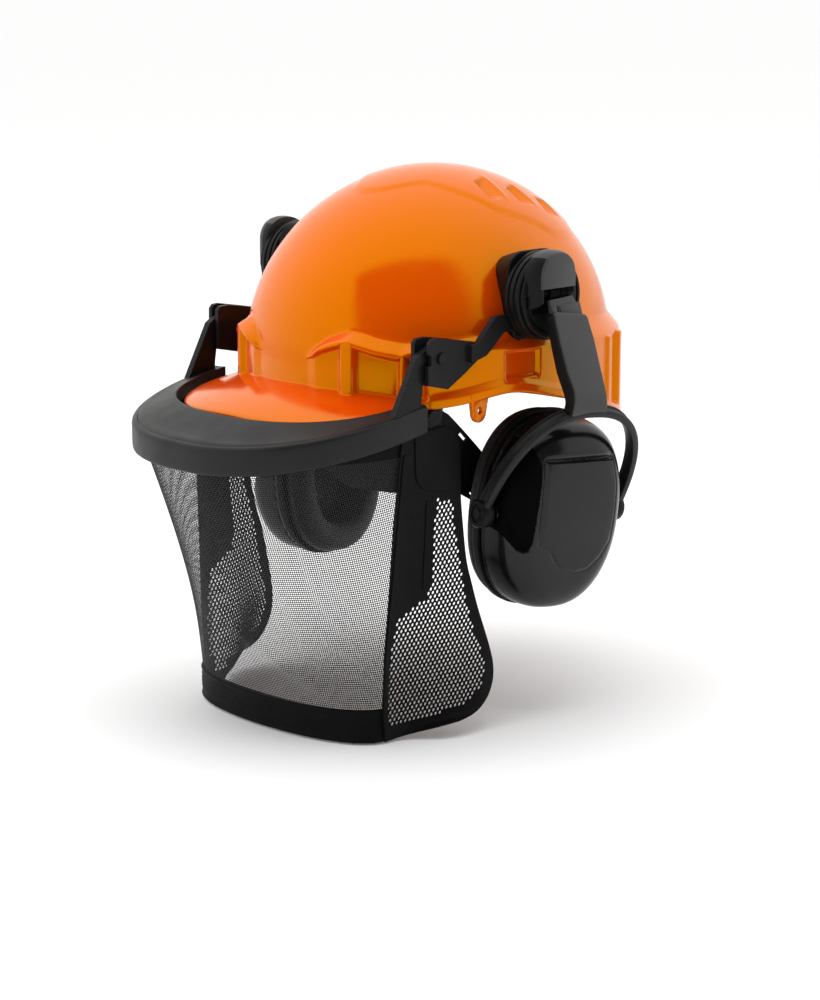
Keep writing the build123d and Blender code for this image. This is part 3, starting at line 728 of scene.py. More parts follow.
# three scooped vents on each side
VQ = [((38.4, 6.5), (54.6, 3.6), (55.5, 17.4), (33.6, 19.1)),
      ((44.4, 28.0), (57.0, 27.6), (56.6, 42.4), (39.6, 38.0)),
      ((45.7, 52.0), (58.6, 49.6), (55.1, 65.0), (42.5, 61.5))]
hole = np.zeros(A.shape[:2], bool)
ax_, ay_ = np.abs(A[..., 0]), A[..., 1]
disp = np.zeros(A.shape[:2])
for q in VQ:
    a, b, c, d = (np.array(p) for p in q)
    mid = (a + b + c + d) / 4
    near = np.hypot(ax_ - mid[0], ay_ - mid[1]) < 24
    X_, Y_ = ax_[near], ay_[near]
    # inverse bilinear: u along the slot, v from its front edge to its rear edge
    u = np.full(X_.shape, 0.5)
    v = np.full(X_.shape, 0.5)
    for _ in range(14):
        px = (1 - u) * (1 - v) * a[0] + u * (1 - v) * b[0] + u * v * c[0] + (1 - u) * v * d[0] - X_
        py = (1 - u) * (1 - v) * a[1] + u * (1 - v) * b[1] + u * v * c[1] + (1 - u) * v * d[1] - Y_
        xu = (1 - v) * (b[0] - a[0]) + v * (c[0] - d[0])
        yu = (1 - v) * (b[1] - a[1]) + v * (c[1] - d[1])
        xv = (1 - u) * (d[0] - a[0]) + u * (c[0] - b[0])
        yv = (1 - u) * (d[1] - a[1]) + u * (c[1] - b[1])
        det = xu * yv - xv * yu
        det = np.where(np.abs(det) < 20, np.where(det < 0, -20, 20), det)
        u = np.clip(u - 0.8 * (px * yv - py * xv) / det, -1, 2)
        v = np.clip(v - 0.8 * (py * xu - px * yu) / det, -1, 2)
    ok = (np.abs(px) + np.abs(py)) < 0.3
    u, v = np.where(ok, u, 3.0), np.where(ok, v, 3.0)
    inside_u = sst(u, -0.02, 0.06) * (1 - sst(u, 0.78, 1.02))
    drop = sst(v, -0.01, 0.08)
    rise = 1 - np.clip((v - 0.08) / 0.92, 0, 1) ** 0.8
    depth = 7.0 * (1 - 0.5 * np.clip(u, 0, 1))
    dd = -inside_u * drop * rise * (v < 1) * depth
    edge = sst(u, -0.25, 0.1) * (1 - sst(u, 0.75, 1.1))
    dd = dd + 0.5 * edge * np.exp(-((v - 1.06) / 0.12) ** 2)
    disp[near] += dd
    hh = hole[near]
    hh |= (u > 0.03) & (u < 0.55) & (v > 0.05) & (v < 0.30)
    hole[near] = hh
A = A + nrm * disp[..., None]

# profile below the dome
s_ = lambda n, a=0.0, b=1.0: np.linspace(a, b, n)[:, None]
Ri = dome_r(zi)
Ro = dome_r(zo) * (1 - kl) + (Rd + BAND) * kl


def wall_r(z):
    zt = np.clip((z - 17) / 1.0, 0, 1) * np.clip((34 - z) / 1.0, 0, 1)          # the shallow window beside the arm mount
    win = sst(tas, -20.4, -19.6) * (1 - sst(tas, -7.6, -6.8))
    k = kw - 0.45 * win * zt
    base = dome_r(z)
    return base + (Rd + BAND - base) * k


t = s_(NB)[1:]
rB = Ri + (Ro - Ri) * t
zB = zi + (zo - zi) * t - 0.7 * kl * np.sin(np.pi * t) * 0
under = 2.2 * sst(kl - np.minimum(kw, 1), 0.1, 0.3)                               # ledge overhang where the wall is set back
z1 = zo - under - 0.6
R1 = wall_r(z1)
t = s_(NCC)[1:]
rC = np.where(t < 0.5, Ro + 0 * t, Ro + (R1 - Ro) * (t - 0.5) * 2)
zC = np.where(t < 0.5, zo + (z1 - zo) * t * 2, z1 - 0.4 * (t - 0.5) * 2)
z2 = z1 - 0.4
zj_lip = rim_z(DY + (Rd + BAND) * st) + 9.0
Rw = wall_r(np.full(NC, 9.0))
zj_brim = brim_z(Rw * ct, DY + Rw * st)
zj = wb * zj_brim + (1 - wb) * zj_lip
t = s_(ND)[1:]
zD = z2 + (zj - z2) * t
rD = np.stack([wall_r(z) for z in zD])
t = s_(NE)[1:]
Rj = rD[-1]
rE = Rj + (Re - Rj) * t
xE, yE = rE * ct, DY + rE * st
rz = rim_z(yE)
lipz = (rim_z(DY + Re * st) + 5.6) * t + (1 - t) * zj_lip
zE = wb * brim_z(xE, yE) + (1 - wb) * lipz
zE[-1] = zE[-1]
ze = zE[-1]
zb = wb * (ze - 3.0) + (1 - wb) * rim_z(DY + Re * st)
t = s_(NF)[1:]
ang = np.pi * t
h = (ze - zb)
# rounded edge: straight drop with round corners, then the turn under
rF = Re + 0 * t
rF = np.where(t > 0.85, Re - 1.2 * (t - 0.85) / 0.15, Re + 0 * t)
zF = ze - h * np.clip(t / 0.85, 0, 1)
t = s_(NG)[1:]
rG0, rG1 = Re - 2.4, np.minimum(Rj, Re - 1.0) - 2.6
rG = rG0 + (rG1 - rG0) * t
xG, yG = rG * ct, DY + rG * st
zG = wb * (brim_z(xG, yG) - 2.8) + (1 - wb) * (zb + (zj_lip - 4.0 - zb) * t)
t = s_(NH)[1:]
zHt = z2 - 2.0
zH = zG[-1] + (zHt - zG[-1]) * t
rH = np.stack([np.minimum(wall_r(z) - 2.6, wall_r(z)) for z in zH])
prof_r = np.concatenate([rB, rC, rD, rE, rF, rG, rH])
prof_z = np.concatenate([zB, zC, zD, zE, zF, zG, zH])
pr = np.concatenate([np.hypot(A[-3:, :, 0], A[-3:, :, 1] - DY), prof_r])
pz = np.concatenate([A[-3:, :, 2], prof_z])
for _ in range(2):
    pr[2:-1] = 0.25 * pr[1:-2] + 0.5 * pr[2:-1] + 0.25 * pr[3:]
    pz[2:-1] = 0.25 * pz[1:-2] + 0.5 * pz[2:-1] + 0.25 * pz[3:]
pr, pz = pr[3:], pz[3:]
P = np.stack([pr * ct, DY + pr * st, pz], -1)
Iq = dome_pts(-WALL)[::-1]
rows = np.concatenate([A, P, Iq])
NR = len(rows)
verts = rows.reshape(-1, 3)
apex_o = np.array([[0, DY, DZ + DOME[2] + 1.1]])
apex_i = np.array([[0, DY, DZ + DOME[2] - WALL]])
verts = np.concatenate([verts, apex_o, apex_i])
cell_hole = hole[:-1, :] & hole[1:, :]
cell_hole = cell_hole & np.roll(cell_hole, -1, axis=1)
F = []
skip = np.zeros((NR - 1, NC), bool)
skip[:NA - 1] = cell_hole
skip[NR - NA:] = cell_hole[::-1]
ii, jj = np.nonzero(~skip)
j2 = (jj + 1) % NC
F = np.stack([ii * NC + jj, ii * NC + j2, (ii + 1) * NC + j2, (ii + 1) * NC + jj], 1).tolist()
# walls of the through-holes join the outer and inner surfaces
hc = cell_hole
hi_, hj_ = np.nonzero(hc)
for i, j in zip(hi_.tolist(), hj_.tolist()):
    for (di, dj, e0, e1) in ((-1, 0, (0, 0), (0, 1)), (1, 0, (1, 1), (1, 0)), (0, -1, (1, 0), (0, 0)), (0, 1, (0, 1), (1, 1))):
        ni, nj = i + di, (j + dj) % NC
        if 0 <= ni < NA - 1 and hc[ni, nj]:
            continue
        p = [(i + e0[0], (j + e0[1]) % NC), (i + e1[0], (j + e1[1]) % NC)]
        o = [a_ * NC + b_ for a_, b_ in p]
        n_ = [(NR - 1 - a_) * NC + b_ for a_, b_ in p]
        F.append([o[0], o[1], n_[1], n_[0]])
ao, ai = len(verts) - 2, len(verts) - 1
for j in range(NC):
    F.append([ao, (j + 1) % NC, j])
    F.append([ai, (NR - 1) * NC + j, (NR - 1) * NC + (j + 1) % NC])
shell = mesh_obj("shell_skin", verts, F)
set_mat(shell, ORANGE)
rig.ride(shell, "root")
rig.slot(shell, "shell")
# chin-strap lugs under the rim
lug_out = [(-53.2, 9.5), (-52.6, 4.5)] + [(-46.9 + 4.9 * math.cos(a), -1.3 + 5.3 * math.sin(a)) for a in np.linspace(math.pi * 1.08, math.pi * 1.92, 14)] + [(-40.6, 4.5), (-39.8, 9.5)]
lug_hole = [(-46.6 + 2.3 * math.cos(a), -0.2 + 2.6 * math.sin(a)) for a in np.linspace(0, 2 * math.pi, 20, endpoint=False)]
lug = flat_curve("chin_lug", [lug_out, lug_hole], 3.2, 0.7, 3)
M = Matrix(((0, 0, 1, 95.4), (1, 0, 0, 0), (0, 1, 0, 0), (0, 0, 0, 1)))
move(lug, M)
lug.data.polygons.foreach_set("use_smooth", [True] * len(lug.data.polygons))
lug.data.set_sharp_from_angle(angle=rad(50))
lug2 = mirror_x(lug, "chin_lug_right")
lug.name = "chin_lug_left"
for o in (lug, lug2):
    set_mat(o, ORANGE)
    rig.ride(o, "root")
    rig.slot(o, "shell")
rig.replaces(shell, "shell")

# ------------------------------------------------------------------ carried-over parts get their finish
def dress(m, *names):
    for n in names:
        for suf in ("", "_left", "_right"):
            if n + suf in frame["nodes"]:
                o = frame["nodes"][n + suf]
                o.data.materials.clear()
                o.data.materials.append(m)


dress(BLACK, "slot_adapter", "carrier_arm", "visor_arm", "arm_hub", "hub_cap", "yoke", "arm_rails", "visor_frame", "cup_ring", "nape_strap", "mesh_pegs")
dress(GREY, "stem")
dress(CUP, "cup_shell", "cup_panel")
dress(STEEL, "hub_axle", "hub_spring")
# the clamp spring takes the near-black painted shade
dress(SHADE_PAINT, "clamp_spring")
dress(BLACK, "pivot_pin", "cup_pivots")
dress(INNER, "headband", "cradle_clips", "headband_pegs")
dress(STRAP, "crown_straps")
dress(SWEAT, "sweatband")
dress(SKIN, "ear_cushion", "nape_pad")
dress(FOAM, "cup_foam")
dress(HEM, "visor_hem")
dress(WING, "side_wing")
dress(NYLON, "visor_mesh")
# ------------------------------------------------------------------ visor frame: crowned shelf, crease, outer band
def visor_rim_z(y):
    return 8.2 + 0.18 * (y + 88.0)


def rim_pt(t, w, l):
    s, c = np.sin(t), np.cos(t)
    return w * np.sign(s) * np.abs(s) ** (2 / 2.41), -88.0 - l * np.abs(c) ** (2 / 2.41)


tt = np.linspace(-math.pi / 2, math.pi / 2, 241)
prof = []
# q from the inner edge (0) to the outer edge (1), height above the rim plane, and whether the inner lip's rise counts
for q, z, k in [(0.0, -5.4, 0), (0.0, -2.0, 0.35), (0.0, 0.1, 0.80), (0.012, 0.5, 0.95), (0.035, 0.6, 1.0), (0.07, 0.5, 0.97), (0.15, 0.35, 0.88), (0.3, 0.2, 0.66), (0.45, 0.1, 0.42), (0.6, 0.0, 0.2), (0.75, 0.0, 0.05),
                (0.855, 0.0, 0), (0.875, -0.55, 0), (0.895, -0.75, 0), (0.915, -0.35, 0), (0.935, -0.15, 0), (0.965, -0.3, 0), (0.985, -0.75, 0), (0.996, -1.5, 0), (1.0, -2.6, 0),
                (1.0, -6.0, 0), (1.0, -11.0, 0), (0.999, -15.0, 0), (0.995, -16.1, 0), (0.985, -16.5, 0), (0.965, -16.5, 0), (0.955, -16.0, 0), (0.95, -15.0, 0), (0.948, -9.0, 0), (0.948, -4.0, 0), (0.93, -2.9, 0),
                (0.8, -2.5, 0), (0.6, -2.5, 0.15), (0.4, -2.5, 0.4), (0.2, -2.5, 0.7), (0.1, -2.6, 0.78), (0.07, -3.2, 0.6), (0.062, -5.2, 0)]:
    w = 84.0 + (95.35 - 84.0) * q
    l = 75.0 + (110.0 - 75.0) * q
    # the outer wall keeps an even thickness all the way round
    if q > 0.93:
        off = (1 - q) * 35.0 * 1.35
        w, l = 95.35 - off, 110.0 - off
    x, y = rim_pt(tt, w, l)
    lift = 5.0 * np.cos(tt) ** 1.2 * k
    prof.append(np.stack([x, y, visor_rim_z(y) + z + lift], 1))
prof = np.array(prof).transpose(1, 0, 2)
n, m = prof.shape[:2]
F = tri_quads(n, m, close_c=True).tolist() + [list(range(m)), list(range((n - 1) * m, n * m))[::-1]]
vframe = mesh_obj("visor_frame_moulding", prof.reshape(-1, 3), F)
vframe.data.set_sharp_from_angle(angle=rad(50))
set_mat(vframe, BLACK_N)
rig.ride(vframe, "visor")
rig.slot(vframe, "black_plastic")
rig.replaces(vframe, "visor_frame")

# ------------------------------------------------------------------ visor mesh: woven nylon, real threads
PITCH_MM = 1.32


def arc_curve(w, y0, l, e, tm, zf, n=801):
    t = np.radians(np.linspace(-tm, tm, n))
    s, c = np.sin(t), np.cos(t)
    x = w * np.sign(s) * np.abs(s) ** (2 / e)
    y = y0 - l * np.abs(c) ** (2 / e)
    p = np.stack([x, y, zf(y)], 1)
    d = np.concatenate([[0], np.cumsum(np.linalg.norm(np.diff(p, axis=0), axis=1))])
    return p, d - d[-1] / 2


top_c, top_d = arc_curve(91.5, -88.0, 106.8, 2.41, 86.6, lambda y: visor_rim_z(y) - 5.0)
bot_c, bot_d = arc_curve(79.0, -105.0, 33.0, 2.1, 90.0, lambda y: -176.0 + 0 * y)
HT, HB = top_d[-1], bot_d[-1]


def sheet_pt(s, v):
    """Point at arc length s from the centre line and height share v (0 top, 1 bottom)."""
    h = HT + (HB - HT) * v
    f = np.clip(s / h, -1, 1)
    a = np.stack([np.interp(f * HT, top_d, top_c[:, k]) for k in range(3)], -1)
    b = np.stack([np.interp(f * HB, bot_d, bot_c[:, k]) for k in range(3)], -1)
    p = a + (b - a) * np.asarray(v)[..., None]
    # the cloth bellies very slightly and has one soft diagonal crease low on the wearer's left
    out = np.stack([p[..., 0], p[..., 1] + 60, 0 * p[..., 0]], -1)
    out /= np.linalg.norm(out, axis=-1, keepdims=True)
    amp = -2.2 * np.sin(np.pi * np.clip(v, 0, 1)) * (1 - np.abs(f) ** 4)
    line = (np.asarray(v) - 0.80) - 0.0035 * (s - 20)
    crease = 1.6 * np.exp(-(line / 0.03) ** 2) * sst(s, -28, 0) * (1 - sst(s, 45, 70)) * sst(v, 0.6, 0.75)
    return p + out * (amp + crease)[..., None]


def thread_tubes(lines, normals, r):
    V, Fq = [], []
    base = 0
    for P_, N_ in zip(lines, normals):
        n_ = len(P_)
        if n_ < 2:
            continue
        T = np.gradient(P_, axis=0)
        T /= np.linalg.norm(T, axis=1, keepdims=True)
        B = np.cross(T, N_)
        B /= np.linalg.norm(B, axis=1, keepdims=True)
        ring = [P_ + 0.3 * r * N_, P_ + r * B - 0.2 * r * N_, P_ - r * B - 0.2 * r * N_]
        V.append(np.stack(ring, 1).reshape(-1, 3))
        i = np.arange(n_ - 1)[:, None]
        k = np.arange(3)[None, :]
        k2 = (k + 1) % 3
        q = np.stack([i * 3 + k, i * 3 + k2, (i + 1) * 3 + k2, (i + 1) * 3 + k], -1).reshape(-1, 4) + base
        Fq.append(q)
        base += n_ * 3
    return np.concatenate(V), np.concatenate(Fq)


def sheet_normal(s, v):
    e = 0.4
    a = sheet_pt(s + e, v) - sheet_pt(s - e, v)
    b = sheet_pt(s, v + 0.003) - sheet_pt(s, v - 0.003)
    n_ = np.cross(a, b)
    return n_ / np.linalg.norm(n_, axis=-1, keepdims=True)


height = float(np.linalg.norm(sheet_pt(np.array(0.0), np.array(1.0)) - sheet_pt(np.array(0.0), np.array(0.0))))
nv = int(height / PITCH_MM)
vs = (np.arange(nv) + 0.5) / nv
lines, norms = [], []
half = int(HT / PITCH_MM)
amp = 0.15
for i in range(-half, half + 1):                    # warp, top to bottom
    s0 = i * PITCH_MM
    hv = HT + (HB - HT) * vs
    ok = np.abs(s0) < hv - 0.3
    if ok.sum() < 2:
        continue
    v = vs[ok]
    s = np.full(v.shape, s0)
    N_ = sheet_normal(s, v)
    alt = np.where((np.arange(nv)[ok] + i) % 2 == 0, 1.0, -1.0)[:, None]
    lines.append(sheet_pt(s, v) + N_ * amp * alt)
    norms.append(N_)
for j in range(nv):                                 # weft, side to side
    hv = HT + (HB - HT) * vs[j]
    i = np.arange(-half, half + 1)
    i = i[np.abs(i * PITCH_MM) < hv - 0.3]
    s = i * PITCH_MM
    v = np.full(s.shape, vs[j])
    N_ = sheet_normal(s, v)
    alt = np.where((j + i) % 2 == 0, -1.0, 1.0)[:, None]
    lines.append(sheet_pt(s, v) + N_ * amp * alt)
    norms.append(N_)
V, Fq = thread_tubes(lines, norms, 0.24)
me = bpy.data.meshes.new("visor_net")
me.from_pydata((V * MM).tolist(), [], Fq.tolist())
me.polygons.foreach_set("use_smooth", [True] * len(me.polygons))
me.update()
net = link(bpy.data.objects.new("visor_net", me))
set_mat(net, NYLON)
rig.ride(net, "visor")
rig.slot(net, "mesh")
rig.replaces(net, "visor_mesh")
flat_w, flat_h = 2 * HT * MM, height * MM
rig.sheet(net, flat=(flat_w, flat_h), held="stretched", rests_on=["visor_frame_moulding", "visor_hem_trim"], area=(HT + HB) * height * 1e-6)

# solid strip along the net's top edge, its lower edge level
nb = 241
fs = np.linspace(-0.998, 0.998, nb)
ztop = np.interp(fs * HT, top_d, top_c[:, 2])
zlow = -21.0 - 8.0 * sst(np.abs(fs), 0.955, 0.995)
vlow = (ztop - zlow) / (ztop + 176.0)
loop_rows = []
for k, off in [(0, 0.7), (0.25, 0.7), (0.5, 0.7), (0.75, 0.7), (0.97, 0.7), (1.0, 0.4), (1.0, -0.4), (0.97, -0.7), (0.5, -0.7), (0.0, -0.7)]:
    v = vlow * k
    s = fs * (HT + (HB - HT) * v)
    N_ = sheet_normal(s, v)
    flip = np.where((N_[:, :1] * np.stack([fs * 90, -np.ones(nb) * 40], 1)[:, :1] + N_[:, 1:2] * -40.0) < 0, -1.0, 1.0)
    loop_rows.append(sheet_pt(s, v) + N_ * flip * off)
loop = np.array(loop_rows).transpose(1, 0, 2)
m = loop.shape[1]
F = tri_quads(nb, m, close_c=True).tolist() + [list(range(m)), list(range((nb - 1) * m, nb * m))[::-1]]
border = mesh_obj("visor_net_border", loop.reshape(-1, 3), F)
border.data.set_sharp_from_angle(angle=rad(50))
set_mat(border, HEM)
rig.ride(border, "visor")
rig.slot(border, "rubber_trim")

# ------------------------------------------------------------------ hem: moulded strip with bead lines
n = 161
prof = []
hz = np.concatenate([[-173.0], np.linspace(-173.4, -192.6, 34), [-193.0]])
for z in hz:
    k = (-173.0 - z) / 20.0
    w, y0, l = 79.5 - 0.8 * k, -105.0 - 2.0 * k, 33.5 - 3.4 * k
    bead = 0.0
    for zb_, a_, w_ in ((-174.6, 0.55, 1.0), (-178.9, 0.35, 0.45), (-181.4, 0.35, 0.45), (-183.9, 0.35, 0.45), (-186.4, 0.35, 0.45), (-191.4, 0.5, 0.9)):
        bead += a_ * math.exp(-((z - zb_) / w_) ** 2)
    t = np.linspace(-math.pi / 2, math.pi / 2, n)
    edge = 0.4 * (math.exp(-((z + 173.0) / 0.3) ** 2) + math.exp(-((z + 193.0) / 0.3) ** 2))
    off = 0.55 + bead - edge
    s, c = np.sin(t), np.cos(t)
    x = (w + off) * np.sign(s) * np.abs(s) ** (2 / 2.1)
    y = y0 - (l + off) * np.abs(c) ** (2 / 2.1)
    prof.append((np.stack([x, y, np.full(n, z)], 1), np.stack([(w - 1.6) * np.sign(s) * np.abs(s) ** (2 / 2.1), y0 - (l - 1.6) * np.abs(c) ** (2 / 2.1), np.full(n, z)], 1)))
loop = [p[0] for p in prof] + [p[1] for p in prof[::-1]]
loop = np.array(loop).transpose(1, 0, 2)
m = loop.shape[1]
F = tri_quads(n, m, close_c=True).tolist() + [list(range(m)), list(range((n - 1) * m, n * m))[::-1]]
hem = mesh_obj("visor_hem_trim", loop.reshape(-1, 3), F)
hem.data.set_sharp_from_angle(angle=rad(55))
set_mat(hem, HEM)
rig.ride(hem, "visor")
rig.slot(hem, "rubber_trim")
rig.replaces(hem, "visor_hem")

# ------------------------------------------------------------------ side wings: perforated plates
WP, WQ, WR = 92.93, 0.00435, 0.0661
wing_edge = catmull([(-60.0, -15.0), (-57.6, -25), (-56.4, -35), (-55.2, -51), (-51.6, -72.5), (-47.6, -91.6), (-42.4, -106), (-35.8, -123), (-28.2, -140), (-22.4, -154), (-20.2, -163), (-20.4, -171), (-23.4, -179), (-29, -185), (-36.5, -188.6), (-47, -190.4)], 5)
wing_out = [tuple(p) for p in wing_edge] + [(-70.7, -191.4), (-91.3, -192.0), (-104.0, -192.8), (-107.6, -193.2), (-109.2, -188), (-110.8, -172), (-111.2, -140), (-109.6, -100), (-108.6, -60), (-106.5, -30), (-105.0, -10.5), (-97.6, -8), (-72, -5), (-66, -7.6)]
perf = [(-74.5, -49.5), (-62, -52.5), (-58.3, -71.5), (-55.0, -84.3), (-49.2, -105.8), (-45.6, -117), (-41.2, -130.3), (-34.3, -144.3), (-28.4, -155), (-27.2, -166), (-31.8, -174.2), (-41.1, -180.0), (-52.8, -182.6), (-71.2, -183.0), (-91.8, -183.6), (-111.3, -184.0), (-109.6, -166.6), (-106.9, -145.5), (-104.4, -130.6), (-102.5, -118.5), (-90.7, -113.3), (-79.4, -110.4), (-75.8, -102.1), (-76, -86.7), (-75.6, -68.5)]


def in_poly(p, poly):
    x, y = p
    ins = False
    for i in range(len(poly)):
        x1, y1 = poly[i]
        x2, y2 = poly[i - 1]
        if (y1 > y) != (y2 > y) and x < (x2 - x1) * (y - y1) / (y2 - y1) + x1:
            ins = not ins
    return ins


holes = []
DYH, DZH = 3.55, 2.45
for r_ in range(60):
    z = -50.5 - r_ * DZH
    for q_ in range(-4, 34):
        y = -118 + q_ * DYH + (DYH / 2 if r_ % 2 else 0)
        y -= 0.10 * (z + 120) * 0.25                      # the rows lean with the wing's front edge
        if in_poly((y, z), perf) and y > np.interp(-z, [40, 60, 100, 140, 172, 188], [-108.0, -108.6, -109.6, -111.2, -110.8, -109.2]) + 3.6:
            holes.append([(y + 1.27 * math.cos(a), z + 1.17 * math.sin(a)) for a in np.linspace(math.pi / 8, 2 * math.pi + math.pi / 8, 8, endpoint=False)])
wing = flat_curve("side_wing_plate_left", [wing_out] + holes, 0.9, 0.0)
pad_edge = catmull([(-93.6, -29.6), (-91.8, -36.5), (-86.6, -41.6), (-78.9, -43.8)], 6)
pad = [(-95.4, -8.6)] + [tuple(p) for p in pad_edge] + [(-60.6, -45.5), (-58.6, -38), (-59.4, -28), (-61.8, -17), (-66.6, -9.4), (-72.2, -6.8)]
padp = flat_curve("pad", [rounded(pad, 1.5)], 1.0, 0.35, 3)
padp.data.transform(Matrix.Translation((0, 0, 0.9 * MM)))
ridge = flat_curve("ridge", [rounded([(-83.4, -50), (-81.8, -50), (-81.4, -103), (-83.0, -103)], 0.6)], 0.8, 0.3, 2)
ridge.data.transform(Matrix.Translation((0, 0, 0.8 * MM)))
seam = flat_curve("seam", [rounded([(-103.6, -20), (-100.6, -20), (-105.2, -100), (-107.6, -140), (-107.4, -172), (-105.4, -190), (-108.2, -190), (-110.3, -172), (-110.6, -140), (-108.2, -100)], 0.8)], 0.9, 0.3, 2)
seam.data.transform(Matrix.Translation((0, 0, 0.8 * MM)))
wing = join("side_wing_plate_left", [wing, padp, ridge, seam])
bmw = bmesh.new()
bmw.from_mesh(wing.data)
for _ in range(3):
    long_e = [e for e in bmw.edges if e.calc_length() > 9.0 * MM]
    if long_e:
        bmesh.ops.subdivide_edges(bmw, edges=long_e, cuts=1)
        bmesh.ops.triangulate(bmw, faces=[f for f in bmw.faces if len(f.verts) > 4])
bmw.to_mesh(wing.data)
bmw.free()
co = np.empty(len(wing.data.vertices) * 3)
wing.data.vertices.foreach_get("co", co)
co = co.reshape(-1, 3) / MM
y, z, h = co[:, 0], co[:, 1], co[:, 2]
x = WP + WQ * y + WR * z + h
# the plate curves away from the face towards its lower rear corner
edge_y = np.interp(-z, -wing_edge[:, 1], wing_edge[:, 0])
edge_y = np.minimum(edge_y, -24.0)
un = np.clip((y + 112.0) / (edge_y + 112.0), 0, 1.2)
fl = (11.0 * sst(-z, 12, 75) + 22.0 * sst(-z, 85, 205) ** 1.1) * sst(un, 0.06, 1.06) ** 1.15
x, y, z = x + 0.7 * fl, y - 0.68 * fl, z + 0.217 * fl
wing.data.vertices.foreach_set("co", (np.stack([x, y, z], 1) * MM).ravel())
wing.data.update()
wing.data.polygons.foreach_set("use_smooth", [False] * len(wing.data.polygons))
bmw = bmesh.new()
bmw.from_mesh(wing.data)
bmesh.ops.recalc_face_normals(bmw, faces=bmw.faces)
bmw.to_mesh(wing.data)
bmw.free()
wing_r = mirror_x(wing, "side_wing_plate_right")
for o, sd in ((wing, "left"), (wing_r, "right")):
    set_mat(o, WING)
    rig.ride(o, "visor")
    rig.slot(o, "wing")
    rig.replaces(o, "side_wing_" + sd)

# ------------------------------------------------------------------ ear cups
CUP_M = place((105.0, 3.5, -66.0), ("Z", -8), ("X", -5), ("Y", 4))
cup_edge = [(-24.4, 35.4), (26.1, 36.7), (30.5, 20.0), (31.5, -1.0), (30.8, -14.0), (24.1, -23.8), (15.8, -30.6), (5.9, -32.2), (-3.7, -29.8), (-9.7, -25.6), (-14.5, -18.6), (-23.3, -14.9)]


def poly_dist(Y, Z, poly):
    """Signed distance to a closed outline, positive inside."""
    P_ = np.array(poly, float)
    d = np.full(Y.shape, 1e9)
    ins = np.zeros(Y.shape, bool)
    for i in range(len(P_)):
        a, b = P_[i], P_[(i + 1) % len(P_)]
        ab = b - a
        t = np.clip(((Y - a[0]) * ab[0] + (Z - a[1]) * ab[1]) / (ab @ ab), 0, 1)
        d = np.minimum(d, np.hypot(Y - a[0] - t * ab[0], Z - a[1] - t * ab[1]))
        if abs(b[1] - a[1]) > 1e-9:
            c = ((a[1] > Z) != (b[1] > Z)) & (Y < (b[0] - a[0]) * (Z - a[1]) / (b[1] - a[1]) + a[0])
            ins ^= c
    return np.where(ins, d, -d)


